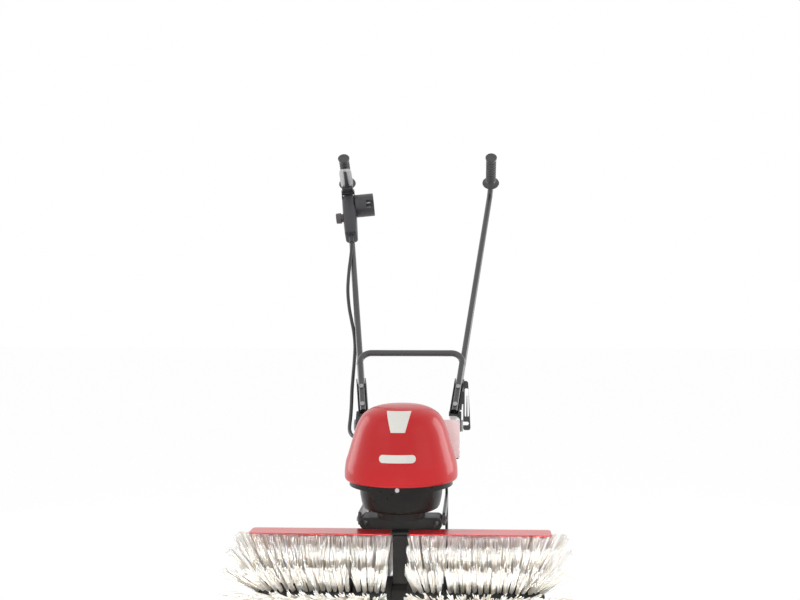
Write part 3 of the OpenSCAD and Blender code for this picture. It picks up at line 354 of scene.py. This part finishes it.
# Hood: the source's outline with a fuller rim, rounded by a spline and turned about the motor axis
hood = {
    "radius": 0.1225, "height": 0.16, "axisY": motorY + shiftY, "rim": 0.408, "wall": 0.003,
    "steps": 128, "sharp": 50.0,
    "lip": [(0.104, -0.0075), (0.107, -0.0075), (0.107, 0.0002), (0.1145, 0.0)],
    "close": [(0.104, 0.008), (0.104, -0.0075)],
    "shape": [
        (0.984, 0.0), (0.997, 0.022), (1.0, 0.06), (0.998, 0.12), (0.988, 0.19), (0.97, 0.26), (0.947, 0.3125),
        (0.925, 0.37), (0.9, 0.435), (0.873, 0.505), (0.845, 0.575), (0.818, 0.645), (0.785, 0.715), (0.738, 0.79),
        (0.675, 0.86), (0.6, 0.908), (0.49, 0.952), (0.36, 0.98), (0.2, 0.994), (0.0, 1.0),
    ],
}
outer = spline([(r * hood["radius"], 0.0, z * hood["height"]) for r, z in hood["shape"]], 4)
inner = [(max(0.0, p.x - hood["wall"]), p.z - hood["wall"] * 0.6) for p in reversed(outer[8:])]
profile = hood["lip"] + [(max(0.0, p.x), p.z) for p in outer] + inner + hood["close"]
bm = bmesh.new()
turnedPart(bm, profile, hood["steps"])
bmesh.ops.remove_doubles(bm, verts=bm.verts, dist=1e-6)
bmesh.ops.recalc_face_normals(bm, faces=bm.faces)
bmesh.ops.translate(bm, verts=bm.verts, vec=(0, hood["axisY"], hood["rim"]))
hoodMesh = meshOf("domeHood", bm)
dome = addObject("domeHood", hoodMesh, "chassis")
hoodMesh.materials.append(finishes["hood_red"])
hoodMesh.set_sharp_from_angle(angle=math.radians(hood["sharp"]))
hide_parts("hood")
print("stage: hood")

# Switch box: soft sections stacked up the tube, cheeks for the lever pin and a ribbed boot for the lead
switchShell = {
    "corner": 9.0, "bootY": -18,
    "cheek": {"x": (15.9, 18.3), "y": (-39.5, -18), "z": (640, 673), "round": 1.1},
    "foot": {"x": 12.5, "half": 3.4, "y": (-33, -26), "z": (512.5, 522), "round": 1.6},
    "pin": [(2.0, -17.0), (2.0, 17.0)],
    # height, half width, front, back
    "sections": [
        (517.0, 13.5, -33.0, 9.5), (518.2, 15.6, -36.5, 12.0), (521.5, 16.8, -38.5, 13.4), (545, 17.6, -39.6, 14.0),
        (590, 18.4, -40.0, 14.0), (640, 18.5, -40.0, 14.0), (649, 18.3, -39.5, 14.0), (653.0, 17.8, -36.5, 13.9),
        (654.0, 17.2, -23.0, 13.8), (664, 16.4, -22.5, 13.2), (671, 14.6, -20.5, 11.6), (674, 11.8, -17.0, 8.4),
    ],
    "boot": [(5.2, 493.0), (6.4, 493.0), (6.5, 496.0), (5.9, 496.6), (6.0, 498.6), (6.8, 499.2), (6.9, 502.2),
             (6.2, 502.8), (6.3, 504.8), (7.2, 505.4), (7.4, 509.0), (6.7, 509.6), (6.8, 511.6), (7.8, 512.2),
             (8.5, 518.0), (0.0, 519.5)],
}


def roundLoop(half, front, back, corner, steps=6):
    corner = min(corner, half - 0.5, (back - front) / 2 - 0.5)
    out = []
    for cx, cy, start in ((half - corner, back - corner, 0), (corner - half, back - corner, 90),
                          (corner - half, front + corner, 180), (half - corner, front + corner, 270)):
        for k in range(steps + 1):
            a = math.radians(start + 90.0 * k / steps)
            out.append((cx + corner * math.cos(a), cy + corner * math.sin(a)))
    return out


bm = bmesh.new()
loops = []
for z, half, front, back in switchShell["sections"]:
    ringVerts = [bm.verts.new((x, y, z)) for x, y in roundLoop(half, front, back, switchShell["corner"])]
    loops.append([bm.edges.new((ringVerts[i - 1], ringVerts[i])) for i in range(len(ringVerts))])
for lower, upper in zip(loops, loops[1:]):
    bmesh.ops.bridge_loops(bm, edges=lower + upper)
for cap in (loops[0], loops[-1]):
    bmesh.ops.contextual_create(bm, geom=cap)
cheek, foot = switchShell["cheek"], switchShell["foot"]
for side in (-1, 1):
    left, right = sorted(side * x for x in cheek["x"])
    roundBox(bm, (left, cheek["y"][0], cheek["z"][0]), (right, cheek["y"][1], cheek["z"][1]), cheek["round"])
    left, right = side * foot["x"] - foot["half"], side * foot["x"] + foot["half"]
    roundBox(bm, (left, foot["y"][0], foot["z"][0]), (right, foot["y"][1], foot["z"][1]), foot["round"])
leverPin = onAxis((0, -32, 666), "Y")
turnedPart(bm, switchShell["pin"], 16, leverPin)
turnedPart(bm, switchShell["boot"], 28, Matrix.Translation((0, switchShell["bootY"], 0)))
finishPiece("switchShell", bm, "handlebar", "box_black", "switch_box", handleFrame(-1))

# Lever: a bowed paddle under the grip, on a block that swings about the pin
leverPaddle = {
    "from": -122.0, "to": -45.0, "axis": 702.0, "bow": 28.6, "thick": 2.8, "half": 16.2, "round": 0.9,
    "nose": 3.4, "noseEnd": 0.25, "tail": 1.6, "tailStart": 0.8, "corner": 5.0, "cornerEnd": 0.2,
}
bm = bmesh.new()
bmesh.ops.create_grid(bm, x_segments=12, y_segments=18, size=1.0)
for v in bm.verts:
    along = (v.co.y + 1.0) / 2.0
    nose = leverPaddle["nose"] * (1.0 - min(1.0, along / leverPaddle["noseEnd"])) ** 2
    tail = leverPaddle["tail"] * max(0.0, (along - leverPaddle["tailStart"]) / (1.0 - leverPaddle["tailStart"]))
    corner = leverPaddle["corner"] * v.co.x ** 4 * max(0.0, 1 - along / leverPaddle["cornerEnd"])
    x = v.co.x * (leverPaddle["half"] - nose - tail)
    y = leverPaddle["from"] + (leverPaddle["to"] - leverPaddle["from"]) * along + corner
    v.co = (x, y, leverPaddle["axis"] - math.sqrt(leverPaddle["bow"] ** 2 - x * x))
bmesh.ops.recalc_face_normals(bm, faces=bm.faces)
bmesh.ops.solidify(bm, geom=list(bm.faces), thickness=leverPaddle["thick"])
softenEdges(bm, sharpEdges(bm, 1.0), leverPaddle["round"], 3)
finishPiece("leverPaddle", bm, "lever", "lever_black", "lever", handleFrame(-1))

# Lever block: the dark hinge barrel and the spine that carries the paddle
leverBlock = {
    "spineFrom": -52.0, "spineTo": -114.0, "spineHalf": 6.4, "spineLow": 666.4, "spineHigh": 672.4, "taper": 0.35,
    "body": ((-15.3, -55.5, 661.4), (15.3, -36.5, 671.6)),
    "barrel": [(2.4, -15.3), (5.4, -15.3), (5.9, -14.7), (5.9, 14.7), (5.4, 15.3), (2.4, 15.3), (2.4, -15.3)],
}
bm = bmesh.new()
roundBox(bm, (-leverBlock["spineHalf"], leverBlock["spineTo"], leverBlock["spineLow"]),
         (leverBlock["spineHalf"], leverBlock["spineFrom"], leverBlock["spineHigh"]), 2.2)
spine = leverBlock["spineTo"] - leverBlock["spineFrom"]
for v in bm.verts:
    v.co.x *= 1.0 - leverBlock["taper"] * (v.co.y - leverBlock["spineFrom"]) / spine
roundBox(bm, *leverBlock["body"], 2.0)
turnedPart(bm, leverBlock["barrel"], 28, leverPin)
finishPiece("leverBlock", bm, "lever", "box_black", None, handleFrame(-1))

# Push button: a dished cap with a finger ring, on its stem
pushButton = {
    "at": (0.0, -22.0, 582.0),
    "profile": [
        (0.0, -36.6), (7.0, -36.7), (11.0, -37.4), (12.6, -38.2), (13.7, -38.0), (14.3, -37.2), (14.9, -26.0),
        (15.0, -24.4), (14.6, -23.7), (11.7, -23.5), (11.7, -16.6), (0.0, -16.6),
    ],
}
bm = bmesh.new()
turnedPart(bm, pushButton["profile"], 40, onAxis(pushButton["at"], "Y"))
finishPiece("pushButton", bm, "button", "button_dark", "button", handleFrame(-1))

# Plug inlet: a cup open at its end, with a notch in the rim that shows the pins from the front
inletCup = {
    "start": 18.5, "length": 51.0, "floor": 12.0, "outer": 32.0, "inner": 28.0, "middle": (-14.0, 629.0),
    "parts": 72, "notchAt": 34.0, "notchHalf": 19.0, "notchDepth": 21.0, "round": 0.7,
}


def cupSpot(radius, part, x):
    a = 2 * math.pi * part / inletCup["parts"]
    return x, inletCup["middle"][0] - radius * math.cos(a), inletCup["middle"][1] - radius * math.sin(a)


def inNotch(part):
    angle = (part % inletCup["parts"] + 0.5) * 360.0 / inletCup["parts"]
    return abs(angle - inletCup["notchAt"]) < inletCup["notchHalf"]


def cupPanel(*corners):
    bm.faces.new([bm.verts.new(cupSpot(*corner)) for corner in corners])


bm = bmesh.new()
cupStart = inletCup["start"]
cupEnd = cupStart + inletCup["length"]
cupCut = cupEnd - inletCup["notchDepth"]
cupFloor = cupStart + inletCup["floor"]
wide, hollow = inletCup["outer"], inletCup["inner"]
for k in range(inletCup["parts"]):
    n = k + 1
    spans = [(wide, cupStart, cupCut), (hollow, cupFloor, cupCut)]
    if not inNotch(k):
        spans += [(wide, cupCut, cupEnd), (hollow, cupCut, cupEnd)]
    for radius, low, high in spans:
        cupPanel((radius, k, low), (radius, n, low), (radius, n, high), (radius, k, high))
    rim = cupCut if inNotch(k) else cupEnd
    cupPanel((wide, k, rim), (wide, n, rim), (hollow, n, rim), (hollow, k, rim))
    cupPanel((0.0, k, cupFloor), (hollow, k, cupFloor), (hollow, n, cupFloor))
    cupPanel((0.0, k, cupStart), (wide, k, cupStart), (wide, n, cupStart))
    if inNotch(k) != inNotch(n):
        cupPanel((wide, n, cupCut), (wide, n, cupEnd), (hollow, n, cupEnd), (hollow, n, cupCut))
bmesh.ops.remove_doubles(bm, verts=bm.verts, dist=1e-4)
bmesh.ops.recalc_face_normals(bm, faces=bm.faces)
softenEdges(bm, sharpEdges(bm, 0.9), inletCup["round"], 2)
finishPiece("inletCup", bm, "handlebar", slotOf["inlet_shroud"], "inlet_shroud", handleFrame(-1))

# Grips: rubber rings between the guard and the end disc, turned about the grip's own axis
ribbedGrip = {
    "at": (0.0, -31.0, 702.0), "bore": 8.05, "rings": 9, "first": 11.0, "pitch": 9.6, "valley": 11.4, "crest": 14.2,
    "guard": [(22.6, 0.0), (23.6, 0.7), (24.0, 1.6), (23.3, 3.4), (16.0, 6.0), (13.0, 8.4)],
    "end": [(13.0, 98.4), (15.4, 100.2), (16.0, 101.2), (16.0, 103.8), (15.2, 105.0), (12.4, 105.0), (11.8, 104.3),
            (6.6, 104.3), (6.0, 103.6), (0.0, 103.6), (0.0, 101.0)],
    "boreEnd": 101.0,
}
bore, valley, crest = ribbedGrip["bore"], ribbedGrip["valley"], ribbedGrip["crest"]
profile = [(bore, 0.0)] + ribbedGrip["guard"]
for i in range(ribbedGrip["rings"]):
    z = ribbedGrip["first"] + i * ribbedGrip["pitch"]
    profile += [(valley, z), (valley, z + 3.4), (crest - 0.5, z + 4.6), (crest, z + 5.6), (crest, z + 7.2),
                (crest - 0.5, z + 8.2)]
profile += ribbedGrip["end"] + [(bore, ribbedGrip["boreEnd"]), (bore, 0.0)]
for sideName, side in bothSides:
    bm = bmesh.new()
    turnedPart(bm, profile, 48, onAxis(ribbedGrip["at"], "X"))
    finishPiece("ribbedGrip" + sideName.capitalize(), bm, "handlebar", "grip_rubber", "grip_" + sideName,
                handleFrame(side))

# Cord hook: the source's plate, slimmer and with its upper outer corner rounded off
hookPlate = {
    "width": 0.026, "slim": 0.68, "middle": -0.019, "short": 0.88, "roundFrom": 0.008, "top": 0.058, "round": 0.45,
}
lean = leanFrame(0)
hookMesh = nodes["cord_hook"].data.copy()
hookMesh.transform(lean.inverted() @ nodes["cord_hook"].matrix_world)
hookStart = max(v.co.x for v in hookMesh.vertices) - hookPlate["width"]
for v in hookMesh.vertices:
    if v.co.x > hookStart - 0.0001:
        rise = max(0.0, (v.co.z - hookPlate["roundFrom"]) / (hookPlate["top"] - hookPlate["roundFrom"]))
        v.co.x = hookStart + (v.co.x - hookStart) * hookPlate["slim"] * (1.0 - hookPlate["round"] * rise * rise)
        v.co.z = hookPlate["middle"] + (v.co.z - hookPlate["middle"]) * hookPlate["short"]
hookMesh.transform(lean)
hook = addObject("hookPlate", hookMesh, "handlebar")
hookMesh.set_sharp_from_angle(angle=math.radians(35))
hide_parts("cord_hook")

# Tyres: a rounded carcass with slanted tread blocks in two staggered rows
tyreShape = {
    "place": (0.099, 0.262, 0.08), "blocks": 32, "blockLow": 74.5, "blockHigh": 79.4, "blockHalf": 4.6, "round": 0.9,
    # width of each row from and to, and its slant
    "rows": [(18.6, 31.2, -24.0), (3.8, 16.4, 24.0)], "centre": (77, 0, 17.5),
    "profile": [(60.05, 1.2), (66.0, 1.0), (71.5, 1.6), (75.2, 3.8), (77.0, 7.5), (77.3, 17.5), (77.0, 27.5),
                (75.2, 31.2), (71.5, 33.4), (66.0, 34.0), (60.05, 33.8), (60.05, 1.2)],
}
for sideName, side in bothSides:
    bm = bmesh.new()
    turnedPart(bm, tyreShape["profile"], 72)
    for i in range(tyreShape["blocks"]):
        for row, (low, high, slant) in enumerate(tyreShape["rows"]):
            block = bmesh.new()
            roundBox(block, (tyreShape["blockLow"], -tyreShape["blockHalf"], low),
                     (tyreShape["blockHigh"], tyreShape["blockHalf"], high), tyreShape["round"], 2)
            bmesh.ops.rotate(block, verts=block.verts, cent=tyreShape["centre"],
                             matrix=Matrix.Rotation(math.radians(slant), 3, "X"))
            angle = 2 * math.pi * (i + 0.5 * row) / tyreShape["blocks"]
            bmesh.ops.rotate(block, verts=block.verts, cent=(0, 0, 0), matrix=Matrix.Rotation(angle, 3, "Z"))
            made = meshOf("block", block)
            bm.from_mesh(made)
            bpy.data.meshes.remove(made)
    inside, back, height = tyreShape["place"]
    place = Matrix.Translation((side * inside, back + shiftY, height))
    finishPiece("treadTyre" + sideName.capitalize(), bm, "wheel_" + sideName, "tyre_black", "tyre_" + sideName,
                place @ Matrix.Rotation(side * math.pi / 2, 4, "Y"))
print("stage: handle and wheel pieces")

# Bristles: tufts in rows along the shaft, each strand a slim tapered rod with its own tone and lean, and painted light
# and shade along it: palest at the root, in the shade of the mass, darker at the lit tip
brush = {
    "axisY": shiftY, "axisZ": 0.146, "root": 0.0525, "tip": 0.1452, "rows": 16, "radius": 0.00122, "pitch": 0.0127,
    "strands": 24, "hole": 0.0038, "fan": 0.0042, "offset": 0.06, "zigzag": 0.04, "backR": 0.0538, "wall": 0.0055,
    "clear": 0.0182, "sides": 6, "rowShift": 0.3, "fanTurn": 0.035, "gather": 0.45, "taper": 0.2, "bow": 0.25,
    # how much tufts and strands differ, and the share of strays
    "tuftTurn": 0.012, "tuftSlide": 0.0008, "tuftBend": 0.008, "slideNoise": 0.0007, "bendNoise": 0.006,
    "lengthNoise": 0.0007, "thin": 0.88, "thick": 1.1, "strays": 0.14, "strayBend": 0.055, "straySlide": 0.003,
    "toneNoise": 0.3, "ringOver": 0.0015,
    "inner": {"from": 0.0185, "to": 0.0965, "first": 0.034, "lean": [
        (0.034, -0.0155), (0.047, -0.013), (0.06, -0.008), (0.073, -0.003), (0.086, 0.001), (0.0965, 0.003)]},
    "outer": {"from": 0.1035, "to": 0.3025, "first": 0.1085, "lean": [
        (0.107, -0.0035), (0.12, -0.003), (0.15, -0.001), (0.2, 0.001), (0.23, 0.006), (0.25, 0.014),
        (0.268, 0.026), (0.285, 0.041), (0.301, 0.053)]},
}
bristleMat, tree, shader = newMaterial("bristleCream", (0.93, 0.9, 0.84), 0.45)
shader.inputs["Subsurface Weight"].default_value = 0.9
shader.inputs["Subsurface Radius"].default_value = (1.0, 0.93, 0.8)
shader.inputs["Subsurface Scale"].default_value = 0.004
# The tone attribute carries each strand's random tone and the painted light and shade along it, palest at the root
tone = tree.nodes.new("ShaderNodeAttribute")
tone.attribute_name = "tone"
streak = noise(tree, 60.0, 3.0)
base = ramp(tree, tone.outputs["Fac"], (0.895, 0.845, 0.76), (0.985, 0.957, 0.9), 0.0, 1.0)
blendNode = tree.nodes.new("ShaderNodeMix")
blendNode.data_type = "RGBA"
blendNode.blend_type = "MULTIPLY"
blendNode.inputs["Factor"].default_value = 0.1
tree.links.new(base, blendNode.inputs["A"])
tree.links.new(ramp(tree, streak, (0.8, 0.78, 0.74), (1.0, 1.0, 1.0)), blendNode.inputs["B"])
tree.links.new(blendNode.outputs["Result"], shader.inputs["Base Color"])


def leanAt(table, x):
    for (x0, s0), (x1, s1) in zip(table, table[1:]):
        if x <= x1:
            return s0 + (s1 - s0) * max(0.0, (x - x0) / (x1 - x0))
    return table[-1][1]


# The ring that the strands stand in
def bristleRing(name, side, spec):
    bm = bmesh.new()
    low, high = spec["from"] - brush["ringOver"], spec["to"] + brush["ringOver"]
    bmesh.ops.create_cone(bm, cap_ends=False, segments=64, radius1=brush["backR"], radius2=brush["backR"],
                          depth=high - low)
    bmesh.ops.rotate(bm, verts=bm.verts, cent=(0, 0, 0), matrix=Matrix.Rotation(math.pi / 2, 3, "Y"))
    bmesh.ops.translate(bm, verts=bm.verts, vec=(side * (low + high) / 2, brush["axisY"], brush["axisZ"]))
    shell = meshOf(name, bm)
    ring = addObject(name, shell, "brush")
    thick = ring.modifiers.new("wall", "SOLIDIFY")
    thick.thickness = brush["wall"]
    thick.offset = -1.0
    shell.materials.append(finishes["hub_black"])


def bristlePiece(name, side, part, seed):
    rng = random.Random(seed)
    spec = brush[part]
    verts, faces, tonesAndPaintedLight = [], [], []
    sides = brush["sides"]
    tufts = int((spec["to"] - 0.002 - spec["first"]) / brush["pitch"]) + 1
    for row in range(brush["rows"]):
        for tuft in range(tufts):
            middle = spec["first"] + tuft * brush["pitch"] + (row % 2) * brush["rowShift"] * brush["pitch"]
            angle = 2 * math.pi * row / brush["rows"] + brush["offset"]
            angle += (tuft % 2 - 0.5) * brush["zigzag"] + rng.uniform(-brush["tuftTurn"], brush["tuftTurn"])
            slideTuft = leanAt(spec["lean"], middle) + rng.uniform(-brush["tuftSlide"], brush["tuftSlide"])
            turnTuft = rng.uniform(-brush["tuftBend"], brush["tuftBend"])
            for strand in range(brush["strands"]):
                reach, spot = math.sqrt(rng.random()), 2 * math.pi * rng.random()
                spotX, spotA = reach * math.cos(spot), reach * math.sin(spot)
                x = min(spec["to"], middle + brush["hole"] * spotX)
                slide = slideTuft + brush["fan"] * spotX + rng.gauss(0, brush["slideNoise"])
                bend = turnTuft + brush["fanTurn"] * spotA + rng.gauss(0, brush["bendNoise"])
                if rng.random() < brush["strays"]:
                    bend += rng.gauss(0, brush["strayBend"])
                    slide += rng.gauss(0, brush["straySlide"])
                if part == "inner":
                    slide = max(slide, brush["clear"] - x)
                span = brush["tip"] - brush["root"] - abs(rng.gauss(0, brush["lengthNoise"]))
                long = span + brush["bow"] * abs(slide)
                rise = min(span, math.sqrt(max(1e-6, long * long - slide * slide)))
                radius = brush["radius"] * rng.uniform(brush["thin"], brush["thick"])
                light = rng.random()
                first = len(verts)
                for t in (0.0, 0.5, 1.0):
                    px = x + slide * t
                    pr = brush["root"] + rise * t
                    around = angle + bend * t
                    around += (brush["hole"] * spotA / brush["root"]) * (1.0 - brush["gather"] * t)
                    size = radius * (1.0 - brush["taper"] * t)
                    for k in range(sides):
                        a = 2 * math.pi * k / sides
                        dx, dy = size * math.cos(a), size * math.sin(a)
                        y = brush["axisY"] - pr * math.sin(around) + dy * math.cos(around)
                        z = brush["axisZ"] + pr * math.cos(around) + dy * math.sin(around)
                        verts.append((side * (px + dx), y, z))
                        # Painted light and shade: the colour is palest at the root, where the strands shade each
                        # other, and darker towards the lit tip
                        tonesAndPaintedLight.append(brush["toneNoise"] * light + (1.0 - brush["toneNoise"]) * (1.0 - t))
                for ring in range(2):
                    for k in range(sides):
                        a = first + ring * sides + k
                        b = first + ring * sides + (k + 1) % sides
                        quad = (a, b, b + sides, a + sides)
                        faces.append(quad if side < 0 else quad[::-1])
                cap = tuple(first + 2 * sides + k for k in range(sides))
                faces.append(cap if side < 0 else cap[::-1])
    mesh = meshFrom(name, verts, faces)
    values = mesh.attributes.new("tone", "FLOAT", "POINT")
    values.data.foreach_set("value", tonesAndPaintedLight)
    obj = addObject(name, mesh, "brush")
    mesh.materials.append(bristleMat)
    bristleRing(name + "Ring", side, spec)
    return obj


for sideName, side in bothSides:
    for part in ("inner", "outer"):
        obj = bristlePiece("bristles" + sideName.capitalize() + part.capitalize(), side, part,
                           11 * side + len(part) + ord(part[0]))
        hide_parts("bristles_" + sideName + "_" + part)
print("stage: bristles")


# Floor, light and background: white where it is seen or mirrored, plain where it lights the machine
def seenDirectly(tree):
    rays = tree.nodes.new("ShaderNodeLightPath")
    factor = rays.outputs["Is Camera Ray"]
    for kind in ("Is Glossy Ray", "Is Transmission Ray"):
        either = tree.nodes.new("ShaderNodeMath")
        either.operation = "MAXIMUM"
        tree.links.new(factor, either.inputs[0])
        tree.links.new(rays.outputs[kind], either.inputs[1])
        factor = either.outputs[0]
    return factor


# The rest of the floor's tone keeps the machine's shadow
floorGlow = 0.94
floorMesh = meshFrom("paleFloor", [(-8, -6, 0), (8, -6, 0), (8, 12, 0), (-8, 12, 0)], [(0, 1, 2, 3)])
floor = addObject("paleFloor", floorMesh)
floorMat, tree, shader = newMaterial("paleFloor", (0.9, 0.9, 0.9), 0.8)
glow = tree.nodes.new("ShaderNodeEmission")
glow.inputs["Color"].default_value = (1.0, 1.0, 1.0, 1.0)
share = tree.nodes.new("ShaderNodeMath")
share.operation = "MULTIPLY"
tree.links.new(seenDirectly(tree), share.inputs[0])
share.inputs[1].default_value = floorGlow
mixer = tree.nodes.new("ShaderNodeMixShader")
tree.links.new(share.outputs[0], mixer.inputs["Fac"])
tree.links.new(shader.outputs[0], mixer.inputs[1])
tree.links.new(glow.outputs[0], mixer.inputs[2])
tree.links.new(mixer.outputs[0], tree.nodes["Material Output"].inputs["Surface"])
floorMesh.materials.append(floorMat)

world = bpy.data.worlds.new("studio")
world.use_nodes = True
scene.world = world
tree = world.node_tree
tree.nodes.clear()
mixer = tree.nodes.new("ShaderNodeMixShader")
tree.links.new(seenDirectly(tree), mixer.inputs["Fac"])
for slot, strength in ((1, 0.88), (2, 1.0)):
    sky = tree.nodes.new("ShaderNodeBackground")
    sky.inputs["Color"].default_value = (1.0, 1.0, 1.0, 1.0)
    sky.inputs["Strength"].default_value = strength
    tree.links.new(sky.outputs[0], mixer.inputs[slot])
out = tree.nodes.new("ShaderNodeOutputWorld")
tree.links.new(mixer.outputs[0], out.inputs["Surface"])


def areaLight(name, place, aim, size, power, mirrored=True, beam=180):
    data = bpy.data.lights.new(name, "AREA")
    data.shape = "RECTANGLE"
    data.size, data.size_y = size
    data.energy = power
    data.spread = math.radians(beam)
    obj = bpy.data.objects.new(name, data)
    obj.location = place
    obj.rotation_euler = (Vector(aim) - Vector(place)).to_track_quat("-Z", "Y").to_euler()
    obj.visible_glossy = mirrored
    obj.visible_camera = False
    scene.collection.objects.link(obj)


areaLight("keyLight", (-2.2, -2.6, 2.8), (0, -0.2, 0.5), (2.4, 2.0), 6)
areaLight("fillLight", (2.6, -2.0, 1.9), (0, -0.2, 0.5), (2.0, 2.0), 4.5)
areaLight("topLight", (0.0, 0.4, 3.2), (0, 0.0, 0.4), (2.4, 2.4), 4, False)
areaLight("frontLight", (0.2, -3.4, 0.8), (0, -0.3, 0.2), (3.0, 1.4), 4, False)
areaLight("lowLight", (0.0, -2.3, 0.2), (0, -0.3, 0.16), (1.8, 0.2), 2.7, False, 16)
areaLight("edgeLightLeft", (-1.7, 0.7, 0.9), (0, -0.2, 0.55), (0.9, 1.4), 8)
areaLight("edgeLightRight", (1.7, 0.7, 0.9), (0, -0.2, 0.55), (0.9, 1.4), 12)
print("stage: light")
